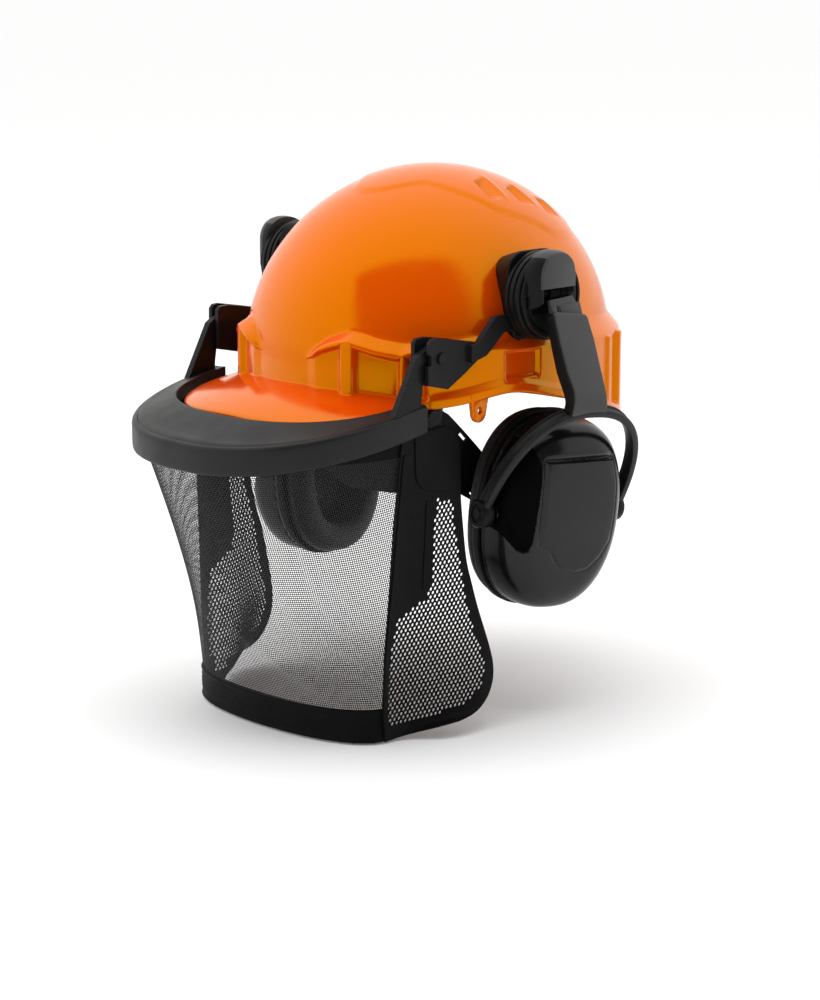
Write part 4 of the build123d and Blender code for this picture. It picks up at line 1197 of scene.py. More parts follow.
def cup_shell_mesh(name):
    nt = 600
    t = np.linspace(0, 2 * math.pi, nt, endpoint=False)
    ey, ez = se(t, 44.0, 59.0, 2.4)
    # egg: fuller above, drawn in towards the foot
    prof = [(-8.0, 0.990), (-7.6, 1.0), (-4.5, 1.0), (-4.1, 0.992), (-3.4, 0.992), (-3.0, 1.0)] + [(3.0 + 0.0 * k, 1.0) for k in range(1)]
    curve = catmull([(-3.0, 1.0), (3.0, 0.998), (9.5, 0.982), (15.0, 0.945), (19.3, 0.88), (22.4, 0.79), (24.0, 0.69), (24.7, 0.58)], 13)
    prof = prof[:-1] + [tuple(p) for p in curve]
    k_in = np.linspace(0.58, 0.0, 104)[1:]
    prof += [(24.7 + 0.9 * (1 - (k / 0.58) ** 2), k) for k in k_in[:-1]]
    rows_ = []
    for xx, k in prof:
        egg = 1 - 0.07 * np.clip(-ez / 59, 0, 1) ** 2 * np.clip(xx / 20, 0, 1)
        Yp, Zp = ey * k * egg, ez * k
        X = np.full(nt, xx)
        rows_.append(np.stack([X, Yp, Zp], 1))
    R_ = np.array(rows_)
    Yg, Zg, Xg = R_[..., 1], R_[..., 2], R_[..., 0]
    d = poly_dist(Yg, Zg, cup_edge)
    face = sst(Xg, 12, 20)
    lowz = sst(Zg, -14, 2)
    up = 1.6 * (0.25 + 0.75 * lowz) * sst(d, -0.4, 1.6) * face
    up -= (0.40 + 0.55 * lowz) * np.exp(-((d + 0.7) / 0.75) ** 2) * face
    # crown bump above the panel, deep scoop down the front flank
    up += 2.2 * np.exp(-(((Yg - 3) / 27) ** 2 + ((Zg - 45) / 15.0) ** 2) ** 2) * sst(Xg, 5, 18) * sst(-d, 0.5, 4.5)
    pk = poly_dist(Yg, Zg, [(-70, 70), (-70, -4), (-46, -6), (-41.5, -13.8), (-37.5, -18.6), (-33.5, -20.2), (-29.5, -18.6), (-27.4, -13.0), (-26.4, 4), (-25.8, 24.7), (-26.4, 34), (-29, 42), (-36, 70)])
    up -= 5.5 * sst(pk, -0.8, 8.5) * sst(Xg, 2, 12) * (1 - sst(Zg, 38, 54))
    R_[..., 0] += up
    n_ = len(prof)
    V_ = R_.reshape(-1, 3)
    cpt = np.array([[25.6 + 1.5, 0, 0]])
    # inner skin
    inner = []
    for xx, k in [(-8.0, 0.94), (2.0, 0.93), (7.5, 0.89), (11.0, 0.80), (14.0, 0.66), (15.2, 0.45)]:
        inner.append(np.stack([np.full(nt, xx), ey * k, ez * k], 1))
    inner = np.array(inner)
    Vall = np.concatenate([V_, cpt, inner.reshape(-1, 3), [[15.6, 0, 0]]])
    F_ = tri_quads(n_, nt, close_c=True).tolist()
    c_i = n_ * nt
    for j in range(nt):
        F_.append([(n_ - 1) * nt + j, (n_ - 1) * nt + (j + 1) % nt, c_i])
    b_ = c_i + 1
    F_ += tri_quads(6, nt, close_c=True, base=b_).tolist()
    for j in range(nt):
        F_.append([b_ + 5 * nt + (j + 1) % nt, b_ + 5 * nt + j, b_ + 6 * nt])
        F_.append([j, (j + 1) % nt, b_ + (j + 1) % nt, b_ + j])
    o = mesh_obj(name, Vall, F_)
    shaded_pocket = ((pk > 0.6) & (Xg > -2.0) & (Zg > -19.5) & (Zg < 46)).reshape(-1)
    shaded_pocket = np.concatenate([shaded_pocket, np.zeros(len(Vall) - len(shaded_pocket), bool)])
    # hinge bosses at the sides
    parts = [o]
    for s in (1, -1):
        cyl = []
        for yy, rr in ((37.0, 6.5), (42.6, 6.5), (43.3, 6.2), (43.4, 3.1), (37.0, 3.1)):
            a = np.linspace(0, 2 * math.pi, 40, endpoint=False)
            cyl.append(np.stack([rr * np.cos(a), np.full(40, s * yy), rr * np.sin(a)], 1))
        parts.append(mesh_obj("boss", np.array(cyl).reshape(-1, 3), tri_quads(5, 40, close_c=True, close_r=True).tolist()))
    for p in parts:
        set_mat(p, CUP)
    # painted shade: the faces of the scooped pocket take the near-black shade colour
    o.data.materials.append(SHADE_PAINT)
    for pl in o.data.polygons:
        if all(shaded_pocket[v] for v in pl.vertices):
            pl.material_index = 1
    o = join(name, parts)
    o.data.set_sharp_from_angle(angle=rad(60))
    move(o, CUP_M)
    return o


cup_l = cup_shell_mesh("ear_cup_left")
cup_r = mirror_x(cup_l, "ear_cup_right")
for o, sd in ((cup_l, "left"), (cup_r, "right")):
    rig.ride(o, "cup_" + sd)
    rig.slot(o, "cup_plastic")
    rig.replaces(o, "cup_shell_" + sd, "cup_panel_" + sd)


# ------------------------------------------------------------------ padding
def cloth_swell(o, pressure=4.0, cap=3.0, frames=20, voxel=2.2, pin=None):
    """Voxel remesh, swell by a short cloth run, cap the movement, apply."""
    r_ = o.modifiers.new("remesh", "REMESH")
    r_.mode = "VOXEL"
    r_.voxel_size = voxel * MM
    apply_mods(o)
    me_ = o.data
    n_ = len(me_.vertices)
    start = np.empty(n_ * 3)
    me_.vertices.foreach_get("co", start)
    start = start.reshape(-1, 3)
    if not quick:
        if pin is not None:
            vg = o.vertex_groups.new(name="pin")
            w_ = pin(start / MM)
            for i in range(n_):
                if w_[i] > 0:
                    vg.add([i], float(w_[i]), "REPLACE")
        cl = o.modifiers.new("cloth", "CLOTH")
        cl.settings.quality = 4
        cl.settings.mass = 0.2
        cl.settings.tension_stiffness = 12
        cl.settings.compression_stiffness = 12
        cl.settings.bending_stiffness = 0.4
        cl.settings.use_pressure = True
        cl.settings.uniform_pressure_force = pressure
        cl.settings.effector_weights.gravity = 0
        cl.collision_settings.use_collision = False
        cl.collision_settings.use_self_collision = False
        if pin is not None:
            cl.settings.vertex_group_mass = "pin"
        cl.point_cache.frame_start = 1
        cl.point_cache.frame_end = frames
        sc_ = bpy.context.scene
        for f_ in range(1, frames + 1):
            sc_.frame_set(f_)
        apply_mods(o)
        sc_.frame_set(1)
        end = np.empty(len(o.data.vertices) * 3)
        o.data.vertices.foreach_get("co", end)
        end = end.reshape(-1, 3)
        if len(end) == len(start):
            d_ = end - start
            ln = np.linalg.norm(d_, axis=1, keepdims=True)
            d_ *= np.minimum(1, cap * MM / np.maximum(ln, 1e-9))
            o.data.vertices.foreach_set("co", (start + d_).ravel())
            o.data.update()
    s_m = o.modifiers.new("sub", "SUBSURF")
    s_m.levels = 1
    s_m.render_levels = 1
    sm = o.modifiers.new("smooth", "SMOOTH")
    sm.factor = 0.5
    sm.iterations = 3
    apply_mods(o)
    o.data.polygons.foreach_set("use_smooth", [True] * len(o.data.polygons))
    return o


def ring_solid(name, rows_, nt=180, e=2.4):
    """Closed ring from (x, a, b) rows on superellipses, in cup coordinates."""
    t = np.linspace(0, 2 * math.pi, nt, endpoint=False)
    V_ = []
    for xx, a, b in rows_:
        y_, z_ = se(t, a, b, e)
        V_.append(np.stack([np.full(nt, xx), y_, z_], 1))
    return mesh_obj(name, np.array(V_).reshape(-1, 3), tri_quads(len(rows_), nt, close_c=True, close_r=True).tolist())


def local_x(M_):
    Mi = M_.inverted()

    def f(co_):
        R3 = np.array(Mi.to_3x3())
        return (co_ @ R3.T + np.array(Mi.translation))
    return f


cush = ring_solid("ear_cushion_pad_left", [(-12.4, 43.2, 58.2), (-15.5, 44.2, 59.2), (-20, 44.0, 59.0), (-23.5, 41.8, 56.8), (-25.6, 38.5, 53.5), (-26.2, 34.0, 49.0), (-25.4, 29.5, 44.5), (-22.5, 26.0, 41.0), (-18, 24.8, 39.8), (-12.4, 26.5, 40.5)])
move(cush, CUP_M)
lx = local_x(CUP_M)
cloth_swell(cush, pressure=3.0, cap=1.2, voxel=2.0, pin=lambda c_: (lx(c_)[:, 0] > -14.5).astype(float))
# welded seam and soft gathers round the inner edge
co = np.empty(len(cush.data.vertices) * 3)
cush.data.vertices.foreach_get("co", co)
co = co.reshape(-1, 3) / MM
loc_ = lx(co)
a_ = np.arctan2(loc_[:, 2] / 59, loc_[:, 1] / 44)
rr_ = (np.abs(loc_[:, 1] / 44) ** 2.4 + np.abs(loc_[:, 2] / 59) ** 2.4) ** (1 / 2.4)
g_ = 0.22 * np.sin(a_ * 46 + 2.0 * np.sin(a_ * 7)) * np.exp(-((rr_ - 0.66) / 0.07) ** 2) * (loc_[:, 0] < -17)
s_w = -0.7 * np.exp(-((loc_[:, 0] + 16.2) / 0.8) ** 2) * (rr_ > 0.9)
R3 = np.array(CUP_M.to_3x3())
rad_dir = np.stack([0 * a_, loc_[:, 1], loc_[:, 2]], 1)
rad_dir /= np.linalg.norm(rad_dir, axis=1, keepdims=True)
loc_ = loc_ + rad_dir * s_w[:, None]
loc_[:, 0] += g_
co = loc_ @ R3.T + np.array(CUP_M.translation)
cush.data.vertices.foreach_set("co", (co * MM).ravel())
cush.data.update()
cush_r = mirror_x(cush, "ear_cushion_pad_right")
# foam liner inside the cup
foam = ring_solid("liner", [(-4.5, 36.0, 50.5), (4.0, 36.0, 50.5), (9, 34.5, 49), (9, 1.0, 1.0), (-2.2, 1.0, 1.0), (-2.6, 15, 22), (-3.4, 28, 41)])
move(foam, CUP_M)
foam.name = "cup_foam_liner_left"
foam_r = mirror_x(foam, "cup_foam_liner_right")
for o, sd, node, m_, sl in ((cush, "left", "ear_cushion_", SKIN, "cushion_skin"), (cush_r, "right", "ear_cushion_", SKIN, "cushion_skin"), (foam, "left", "cup_foam_", FOAM, "foam"), (foam_r, "right", "cup_foam_", FOAM, "foam")):
    set_mat(o, m_)
    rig.ride(o, "cup_" + sd)
    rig.slot(o, sl)
    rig.replaces(o, node + sd)
    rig.padded(o, fill=0.7 if "cushion" in node else 0.9)

# ------------------------------------------------------------------ arm mount, drum and cap
def loft(name, rings, cap0=True, cap1=True, sharp=45):
    n_, m_ = len(rings), len(rings[0])
    F_ = tri_quads(n_, m_, close_c=True).tolist()
    if cap0:
        F_.append(list(range(m_)))
    if cap1:
        F_.append(list(range((n_ - 1) * m_, n_ * m_)))
    o = mesh_obj(name, np.array(rings).reshape(-1, 3), F_)
    o.data.set_sharp_from_angle(angle=rad(sharp))
    return o


def lathe_x(name, prof, y, z, n_=96):
    a = np.linspace(0, 2 * math.pi, n_, endpoint=False)
    rings = [np.stack([np.full(n_, px_), y + r_ * np.cos(a), z + r_ * np.sin(a)], 1) for px_, r_ in prof]
    return loft(name, rings)


def arch(x, w, yc, zt, zb, e=2.2, n_=48, top=None):
    """Outline with straight sides and a rounded head, at height x."""
    t = np.linspace(0, math.pi, n_)
    zc = zt - w * 0.98
    y_, z_ = se(t, w, zt - zc, e)
    pts = [(yc + w, zb)] + [(yc + a_, zc + b_) for a_, b_ in zip(y_, z_)] + [(yc - w, zb)]
    k = 12
    pts = pts[:1] + [(yc + w, zb + (zc - zb) * i / k) for i in range(1, k)] + pts[1:-1] + [(yc - w, zc + (zb - zc) * i / k) for i in range(1, k)] + pts[-1:]
    return np.array([(x, a_, b_) for a_, b_ in pts])


def ring_rr(x, y0, y1, z0, z1, r, n_=8, low=0.0):
    """Rounded rectangle in (Y, Z), its foot drawn in by low."""
    out_ = []
    for cy, cz, a0 in ((y1 - r, z1 - r, 0), (y0 + r, z1 - r, 90), (y0 + low + 6, z0 + 6, 180), (y1 - low - 6, z0 + 6, 270)):
        rr_ = r if a0 < 180 else 6
        for i in range(n_ + 1):
            a = rad(a0 + 90 * i / n_)
            out_.append((x, cy + rr_ * math.cos(a), cz + rr_ * math.sin(a)))
    return np.array(out_)


ad = [ring_rr(72, -17.5, 5, 44, 84.0, 9), ring_rr(80, -19.0, 7, 42, 86.0, 10), ring_rr(87, -22.6, 9.5, 40.5, 88.0, 11, low=2), ring_rr(93, -25.4, 12, 39.4, 89.8, 12, low=3), ring_rr(98.5, -27.6, 14, 38.9, 91.2, 12.5, low=4), ring_rr(100.6, -28.0, 14.4, 38.9, 91.4, 12.5, low=4.5), ring_rr(101.3, -27.4, 13.8, 39.4, 90.8, 12, low=4.5)]
adl = loft("arm_mount_block_left", ad, sharp=40)
drum = lathe_x("ear_arm_drum_left", [(102.0, 8), (102.0, 25.2), (102.6, 26.0), (104.6, 26.0), (105.0, 25.0), (105.8, 25.0), (106.2, 26.0), (108.8, 26.0), (109.2, 25.1), (110.0, 25.1), (110.4, 25.9), (112.5, 25.9), (113.3, 25.2), (113.3, 24.2), (112.5, 23.8), (112.5, 22.9), (113.3, 22.5), (113.3, 8)], -6.5, 65.0)
plate = lathe_x("plate", [(113.65, 6), (113.65, 24.4), (115.4, 24.4), (116.2, 23.6), (116.2, 21.9), (115.3, 21.4), (115.3, 20.6), (116.2, 20.2), (116.4, 19.6), (116.4, 0.5)], -6.5, 65.0)
C0 = -9.8
cap = loft("cap", [arch(113.7, 17.6, C0 - 0.6, 93.0, 66.0), arch(116.5, 17.5, C0 - 0.6, 93.2, 67.5), arch(118.6, 17.0, C0 - 0.5, 93.2, 69.5), arch(120.6, 16.2, C0 - 0.3, 93.0, 71.2), arch(122.3, 15.3, C0, 92.6, 71.4), arch(123.7, 14.4, C0, 92.2, 71.4), arch(124.5, 13.9, C0, 91.8, 71.4), arch(124.9, 13.2, C0, 91.2, 71.5)], sharp=38)
cheek_a = loft("cheek_a", [np.array([(113.7, C0 - 17.6, 58), (113.7, C0 - 17.6, 74), (113.7, C0 - 14.6, 74), (113.7, C0 - 14.6, 58)]),
                           np.array([(118.6, C0 - 16.9, 60), (118.6, C0 - 16.9, 74), (118.6, C0 - 13.4, 74), (118.6, C0 - 13.2, 60)]),
                           np.array([(122.3, C0 - 15.2, 62), (122.3, C0 - 15.3, 74), (122.3, C0 - 12.8, 74), (122.3, C0 - 12.6, 62)]),
                           np.array([(124.4, C0 - 13.9, 63.6), (124.4, C0 - 13.9, 74), (124.4, C0 - 12.9, 74), (124.4, C0 - 12.7, 63.6)])])
cheek_b = loft("cheek_b", [np.array([(113.7, C0 + 17.4, 58), (113.7, C0 + 17.4, 74), (113.7, C0 + 18.9, 74), (113.7, C0 + 18.9, 58)]),
                           np.array([(116.6, C0 + 17.4, 58), (116.6, C0 + 17.4, 74), (116.6, C0 + 18.4, 74), (116.6, C0 + 18.4, 58)])])
# painted shade: a near-black sheet set in the gap between the cap's cheeks
liner = loft("liner", [np.array([(116.6, C0 - 14.5, 56), (116.6, C0 - 14.5, 74), (116.6, C0 + 17.2, 74), (116.6, C0 + 17.2, 56)]), np.array([(116.9, C0 - 14.5, 56), (116.9, C0 - 14.5, 74), (116.9, C0 + 17.2, 74), (116.9, C0 + 17.2, 56)])])
for o, m_ in ((cap, GREY), (plate, HUB_PLASTIC_AND_SHADE), (cheek_a, HUB_PLASTIC_AND_SHADE), (cheek_b, HUB_PLASTIC_AND_SHADE), (liner, SHADE_PAINT)):
    set_mat(o, m_)
# painted shade: the cap's flank faces (turned towards -Y, below the top, off the outer face) take the darker hub
# material
cap.data.materials.append(HUB_PLASTIC_AND_SHADE)
for pl in cap.data.polygons:
    if pl.normal.y < -0.25 and pl.normal.x < 0.72 and pl.center.x < 123.9 * MM and pl.center.z < 89.5 * MM:
        pl.material_index = 1
capo = join("hub_cap_cover_left", [cap, plate, cheek_a, cheek_b, liner])
capo.data.set_sharp_from_angle(angle=rad(40))
pin_s = lathe_x("pin_s", [(-12.4, 0.6), (-12.4, 2.4), (13.0, 2.4), (13.0, 0.6)], 0, 0, 24)
move(pin_s, place((121.0, -9.6, 69.0), ("Z", 90)))
# ------------------------------------------------------------------ rails, stem and yoke
STEM_M = place((121.0, -5.0, 69.0), ("X", 3), ("Y", -15))


def box_ring(y0, y1, x0, x1, r, s_, n_=6):
    """Rounded rectangle across the stem at distance s_ from the swing axis."""
    out_ = []
    for cx, cy, a0 in ((x1 - r, y1 - r, 0), (x0 + r, y1 - r, 90), (x0 + r, y0 + r, 180), (x1 - r, y0 + r, 270)):
        for i in range(n_ + 1):
            a = rad(a0 + 90 * i / n_)
            out_.append((cx + r * math.cos(a), cy + r * math.sin(a), -s_))
    return np.array(out_)


def mt(M_, p_):
    return np.asarray(p_) @ np.array(M_.to_3x3()).T + np.array(M_.translation)


rail = []
for s_, y0_, y1_, t_ in ((4.2, -11.8, 8.0, 1.2), (9.5, -12.0, 10.5, 1.4), (11.5, -12.4, 12.4, 1.5), (45.6, -12.5, 12.5, 1.5), (46, -12.2, 12.2, 1.2)):
    rail.append(box_ring(y0_, y1_, -t_, t_, 0.6, s_, 3))
strip = loft("strip", rail)
barrel = lathe_x("barrel", [(-11.8, 2.6), (-11.8, 3.3), (-11.5, 3.6), (7.7, 3.6), (8.0, 3.3), (8.0, 2.6)], 0, 0, 40)
move(barrel, place((0, 0, 0), ("Z", 90)))
ribs = []
for ya, yb in ((-12.1, -8.6), (-7.0, -6.1), (-5.6, 11.8)):
    ribs.append(loft("rib", [box_ring(ya, yb, 1.2, 2.3, 0.35, q_, 2) for q_ in (8.5, 9.0, 44.0, 44.5)]))
# the rail barrel takes the near-black painted shade
for o, m_ in [(strip, GREY), (barrel, SHADE_PAINT)] + [(q_, GREY) for q_ in ribs]:
    set_mat(o, m_)
for o in [strip, barrel] + ribs:
    move(o, STEM_M)
rails = join("ear_arm_rails_left", [strip, barrel] + ribs)
rails.data.set_sharp_from_angle(angle=rad(40))

YOKE_M = CUP_M @ place((0, 0, 0), ("Y", 24))


def stem_ring(s_, grow=0.0, r=1.9):
    yl = np.interp(s_, [12, 30, 46, 56, 66], [-14.7, -14.7, -14.0, -12.0, -10.8])
    yr = np.interp(s_, [12, 16, 31, 66], [13.5, 13.8, 15.0, 15.6])
    xi = np.interp(s_, [12, 20, 40, 56, 66], [-2.9, -3.1, -4.2, -5.0, -5.0])
    q_ = box_ring(yl - grow, yr + grow, xi - grow, 5.0 + grow * 0.4, r, s_)
    q_[:, 2] -= 0.19 * (q_[:, 1] + 11.0) * (1 - sst(s_, 13, 34))
    return q_


rings = [box_ring(-12.9, 12.9, -1.9, 2.75, 0.5, q_) for q_ in (50.0, 31.0, 19.0)]
rings += [stem_ring(12.0, -1.6, 1.0) * np.array([1, 0.90, 1]), stem_ring(12.5, -0.6, 1.5) * np.array([1, 0.95, 1]), stem_ring(13.6, -0.15, 1.8) * np.array([1, 0.985, 1]), stem_ring(15.2)]
rings += [stem_ring(q_) for q_ in np.linspace(18, 55, 14)]
rings = [mt(STEM_M, r_) for r_ in rings]
A_ = rings[-1]
T0 = mt(STEM_M, stem_ring(56)) - mt(STEM_M, stem_ring(55))
# end section: flat on the yoke's crown; its outward side faces the stem's outward side
end = box_ring(-20.0, 6.6, -4.4, 4.4, 1.6, 0.0)
B_ = mt(YOKE_M, np.stack([end[:, 0], end[:, 1], np.full(len(end), 73.6)], 1))
T1 = mt(YOKE_M, np.stack([end[:, 0], end[:, 1], np.full(len(end), 72.6)], 1)) - B_
span = np.linalg.norm(B_ - A_, axis=1, keepdims=True)
for k in np.linspace(0, 1, 17)[1:]:
    h0, h1, h2, h3 = 2 * k ** 3 - 3 * k ** 2 + 1, k ** 3 - 2 * k ** 2 + k, -2 * k ** 3 + 3 * k ** 2, k ** 3 - k ** 2
    rings.append(h0 * A_ + h1 * T0 * span * 1.05 + h2 * B_ + h3 * T1 * span * 1.05)
stem_m = loft("stem", rings, sharp=50)
# groove-sided yoke band
nt_ = 121
t = np.linspace(0.0, math.pi, nt_)
ym, zm = se(t, 51.1, 74.0, 2.4)
P_ = np.stack([ym, zm], 1)
T_ = np.gradient(P_, axis=0)
T_[0], T_[-1] = (0, 1), (0, -1)
T_ /= np.linalg.norm(T_, axis=1, keepdims=True)
Nn = np.stack([T_[:, 1], -T_[:, 0]], 1)
sec = [(-4.4, -1.7), (-3.6, -2.4), (3.6, -2.4), (4.4, -1.7), (4.5, 0), (4.4, 1.6), (3.7, 2.3), (2.4, 2.4), (2.1, 1.6), (1.3, 1.4), (-1.3, 1.4), (-2.1, 1.6), (-2.4, 2.4), (-3.7, 2.3), (-4.4, 1.6), (-4.5, 0)]
rg = []
for i in range(nt_):
    rg.append([(a_, P_[i, 0] + Nn[i, 0] * b_, P_[i, 1] + Nn[i, 1] * b_) for a_, b_ in sec])
yb = loft("yband", np.array(rg), sharp=50)
move(yb, YOKE_M)
yparts = [stem_m, yb]
for s_ in (1, -1):
    b1 = lathe_x("yboss", [(46.9, 3.2), (46.9, 8.2), (47.5, 8.5), (53.2, 8.5), (54.2, 7.6), (54.2, 5.4), (53.4, 5.0), (53.4, 0.4)], 0, 0, 48)
    move(b1, CUP_M @ place((0, 0, 0), ("Z", 90 * s_)))
    yparts.append(b1)
for o, m_ in ((stem_m, GREY), (yb, BLACK_N), (yparts[2], HUB_PLASTIC_AND_SHADE), (yparts[3], HUB_PLASTIC_AND_SHADE)):
    set_mat(o, m_)
# painted shade: the stem's side walls, picked by face direction, take the darker hub material
stem_m.data.materials.append(HUB_PLASTIC_AND_SHADE)
side_n = Vector(np.array(STEM_M.to_3x3()) @ np.array([0.0, -1.0, 0.0]))
for pl in stem_m.data.polygons:
    if abs(pl.normal.dot(side_n)) > 0.72:
        pl.material_index = 1
stem_yoke = join("ear_arm_stem_yoke_left", yparts)
stem_yoke.data.set_sharp_from_angle(angle=rad(42))
# the short swing pin, a steel part, takes the near-black painted shade
for o, m_, body, nodes_, sl in ((adl, HUB_PLASTIC_AND_SHADE, "root", ["slot_adapter"], "black_plastic"), (drum, HUB_PLASTIC_AND_SHADE, "hub", ["arm_hub"], "black_plastic"), (capo, None, "hub", ["hub_cap"], "black_plastic"),
                                (pin_s, SHADE_PAINT, "hub", ["swing_pin"], "steel"), (rails, None, "rails", ["arm_rails"], "black_plastic"), (stem_yoke, None, "stem", ["stem", "yoke"], "black_plastic")):
    if m_ is not None:
        set_mat(o, m_)
    if o is pin_s:
        o.name = "swing_pin_short_left"
    nm = o.name
    o2 = mirror_x(o, nm.replace("_left", "_right"))
    for q_, sd in ((o, "left"), (o2, "right")):
        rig.ride(q_, body if body == "root" else body + "_" + sd)
        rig.slot(q_, sl)
        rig.replaces(q_, *[n_ + "_" + sd for n_ in nodes_])

# ------------------------------------------------------------------ suspension: headband, sweatband, crown straps, nape pad
def ell_ring(name, a_mid, b_mid, yc, rows_fn, th_, sharp=50, closed=True):
    """Strip that follows an ellipse. rows_fn(theta) gives the section (radial offset, z) at each angle."""
    V_ = []
    for a in th_:
        sec_ = rows_fn(a)
        c_, s_2 = math.cos(a), math.sin(a)
        nx, ny = c_ / a_mid, s_2 / b_mid
        l_ = math.hypot(nx, ny)
        nx, ny = nx / l_, ny / l_
        V_.append([(a_mid * c_ + nx * o_, yc + b_mid * s_2 + ny * o_, z_) for o_, z_ in sec_])
    V_ = np.array(V_)
    n_, m_ = V_.shape[:2]
    F_ = tri_quads(n_, m_, close_c=True, close_r=closed).tolist()
    if not closed:
        F_ += [list(range(m_)), list(range((n_ - 1) * m_, n_ * m_))[::-1]]
    o = mesh_obj(name, V_.reshape(-1, 3), F_)
    o.data.set_sharp_from_angle(angle=rad(sharp))
    return o


def hb_section(a):
    y_ = 5.0 + 99.0 * math.sin(a)
    lo = 9.0
    tab = float(sst(y_, -63.5, -61.0) * (1 - sst(y_, -49.0, -46.5)))
    lo = lo + (-14.0 - lo) * tab
    hi = 29.6
    return [(-0.8, lo + 0.4), (-0.8, hi - 0.4), (-0.4, hi), (0.4, hi), (0.8, hi - 0.4), (0.8, hi - 3), (1.3, hi - 3.6), (1.3, hi - 5.2), (0.8, hi - 5.8), (0.8, lo + 0.4), (0.4, lo), (-0.4, lo)]


hb = ell_ring("headband_strap", 79.0, 99.0, 5.0, hb_section, np.linspace(0, 2 * math.pi, 480, endpoint=False))
set_mat(hb, INNER)
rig.ride(hb, "root")
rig.slot(hb, "black_plastic")
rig.replaces(hb, "headband")
th_s = np.linspace(rad(-202), rad(22), 300)
th_s = th_s[(5.0 + 99.0 * np.sin(th_s)) < 19.5]


def sw_section(a):
    y_ = 5.0 + 99.0 * math.sin(a)
    tab = float(sst(y_, -76, -70) * (1 - sst(y_, -42, -36)))
    lo, hi = 9.2 + 2.0 * tab, 28.6
    q_ = 0.35 * math.sin(a * 42)
    mid = (lo + hi) / 2
    end_ = min(1.0, max(0.12, (19.5 - y_) / 4.0))
    dd = 1.0 * end_
    return [(-1.4, lo + 0.8), (-1.4, hi - 0.8), (-1.9, hi), (-2.6 * dd - 0.3, hi - 0.3), (-3.6 * dd - q_ * 0.3, hi - 2.6), (-4.1 * dd - q_, mid + 4.5), (-3.3 * dd, mid), (-4.1 * dd + q_, mid - 4.5), (-3.6 * dd + q_ * 0.3, lo + 2.6), (-2.6 * dd - 0.3, lo + 0.3), (-1.9, lo)]


sw = ell_ring("sweatband_pad", 79.0, 99.0, 5.0, sw_section, th_s, closed=False)
sub = sw.modifiers.new("sub", "SUBSURF")
sub.levels = 1
sub.render_levels = 1
apply_mods(sw)
sw.data.polygons.foreach_set("use_smooth", [True] * len(sw.data.polygons))
set_mat(sw, SWEAT)
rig.ride(sw, "root")
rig.slot(sw, "sweatband")
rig.replaces(sw, "sweatband")
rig.padded(sw, fill=0.55)


def np_section(a):
    e_ = math.sin(max(0.0, min(1.0, (a - rad(54)) / rad(72))) * math.pi) ** 0.28
    zc_, hz_ = -76.5, 10.8 * (0.55 + 0.45 * e_)
    dpt = 4.6 * max(0.12, e_)
    chan = 0.5 * math.exp(-((a - rad(78)) / 0.03) ** 2) + 0.5 * math.exp(-((a - rad(102)) / 0.03) ** 2)
    out_ = [(-1.3, zc_ - hz_ + 1.2), (-1.3, zc_ + hz_ - 1.2)]
    for u_ in np.linspace(1, -1, 13):
        out_.append((-1.5 - (dpt * (1 - abs(u_) ** 3.0) ** 0.5) * (1 - chan * 0.5), zc_ + hz_ * u_ * (1 - 0.03 * math.sin(a * 40) * (abs(u_) > 0.8))))
    return out_


npd = ell_ring("nape_strap_pad", 71.5, 95.0, 5.0, np_section, np.linspace(rad(54), rad(126), 90), closed=False)
npd.data.polygons.foreach_set("use_smooth", [True] * len(npd.data.polygons))
set_mat(npd, SKIN)
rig.ride(npd, "nape")
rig.slot(npd, "cushion_skin")
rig.replaces(npd, "nape_pad")
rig.padded(npd, fill=0.7)

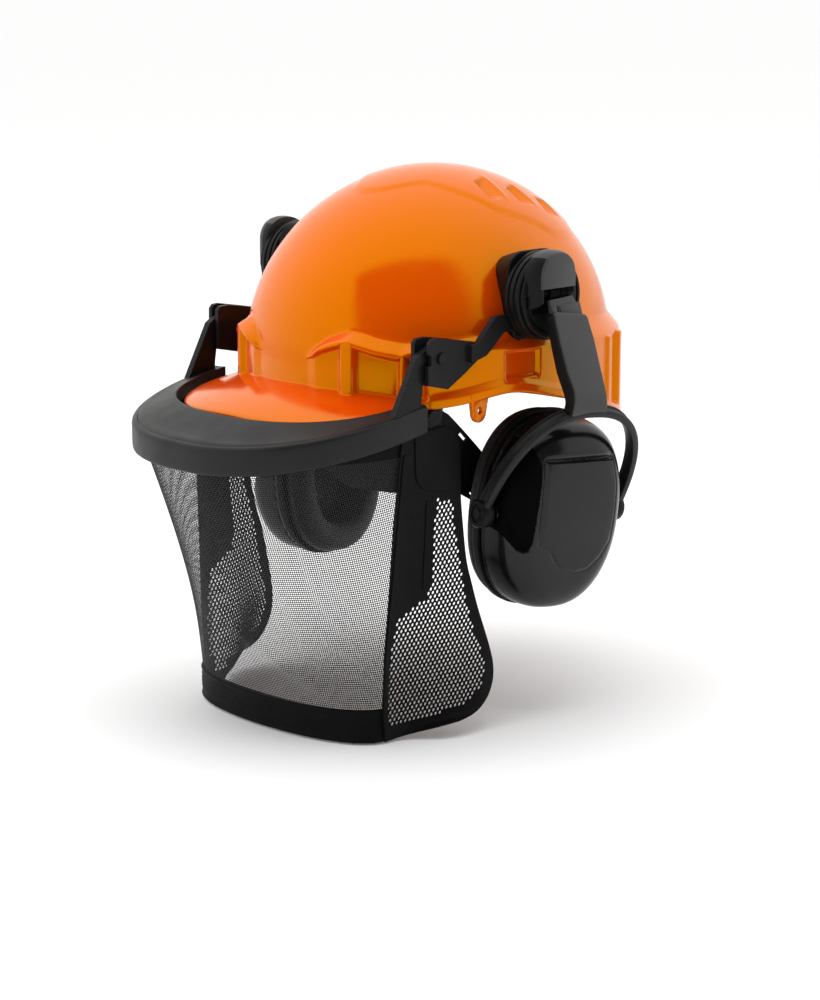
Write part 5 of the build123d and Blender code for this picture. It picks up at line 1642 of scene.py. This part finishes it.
# crown straps: three webbing bands crossing at the crown, each one lying on the next
Axs, Bys, Czs = 100.5 - 15.7, 123.0 - 15.7, 111.2 - 15.7
straps = []
for idx, (nm, ang_) in enumerate((("crown_strap_fore_aft", 0.0), ("crown_strap_cross_a", 58.0), ("crown_strap_cross_b", -58.0))):
    d_ = np.array([-math.sin(rad(ang_)), math.cos(rad(ang_))])
    p_ = np.array([math.cos(rad(ang_)), math.sin(rad(ang_))])
    nl, nw = 150, 17
    ph = np.linspace(rad(-1.0), rad(181.0), nl)
    ws = np.linspace(-9.7, 9.7, nw)
    top_r, bot_r = [], []
    length = 0.0
    for j, w_ in enumerate(ws):
        qa = (d_[0] / Axs) ** 2 + (d_[1] / Bys) ** 2
        qb = 2 * w_ * (p_[0] * d_[0] / Axs ** 2 + p_[1] * d_[1] / Bys ** 2)
        qc = w_ ** 2 * ((p_[0] / Axs) ** 2 + (p_[1] / Bys) ** 2)
        lc = -qb / (2 * qa)
        lr = math.sqrt(max(qb ** 2 - 4 * qa * (qc - 1), 1e-6)) / (2 * qa)
        l_ = lc + lr * np.cos(ph)
        hz_ = Czs * math.sqrt(qa) * lr * np.sin(ph)
        X_ = p_[0] * w_ + d_[0] * l_
        Y_ = p_[1] * w_ + d_[1] * l_
        Nv = np.stack([X_ / Axs ** 2, Y_ / Bys ** 2, hz_ / Czs ** 2], 1)
        Nv /= np.linalg.norm(Nv, axis=1, keepdims=True)
        near_top = sst(np.sin(ph), 0.955, 0.992)
        lift = (idx - 1) * 1.25 * near_top
        edge_ = 1 - 0.55 * (abs(w_) > 9.2)
        bow = -0.35 * (w_ / 9.7) ** 2
        c3 = np.stack([X_, 6.9 + Y_, 21.6 + hz_], 1) + Nv * (lift + bow + 0.12 * np.sin(ph * 31 + idx))[:, None]
        if j == nw // 2:
            length = float(np.linalg.norm(np.diff(c3, axis=0), axis=1).sum())
        top_r.append(c3 + Nv * 0.55 * edge_)
        bot_r.append(c3 - Nv * 0.55 * edge_)
    V_ = np.array(top_r + bot_r[::-1]).transpose(1, 0, 2)
    n_, m_ = V_.shape[:2]
    F_ = tri_quads(n_, m_, close_c=True).tolist() + [list(range(m_)), list(range((n_ - 1) * m_, n_ * m_))[::-1]]
    o = mesh_obj(nm, V_.reshape(-1, 3), F_)
    o.data.set_sharp_from_angle(angle=rad(60))
    set_mat(o, STRAP)
    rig.ride(o, "root")
    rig.slot(o, "webbing")
    if idx == 0:
        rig.replaces(o, "crown_straps")
    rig.sheet(o, flat=(19.4 * MM, length * MM), held="stretched", rests_on=["cradle_clips"] if idx == 0 else ["cradle_clips", straps[-1].name])
    straps.append(o)

#PARTS

open("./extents.json", "w").write(json.dumps({"cad": [list(map(float, p)) for p in cad_box], "visual": [list(map(float, p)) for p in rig.bounds()]}))
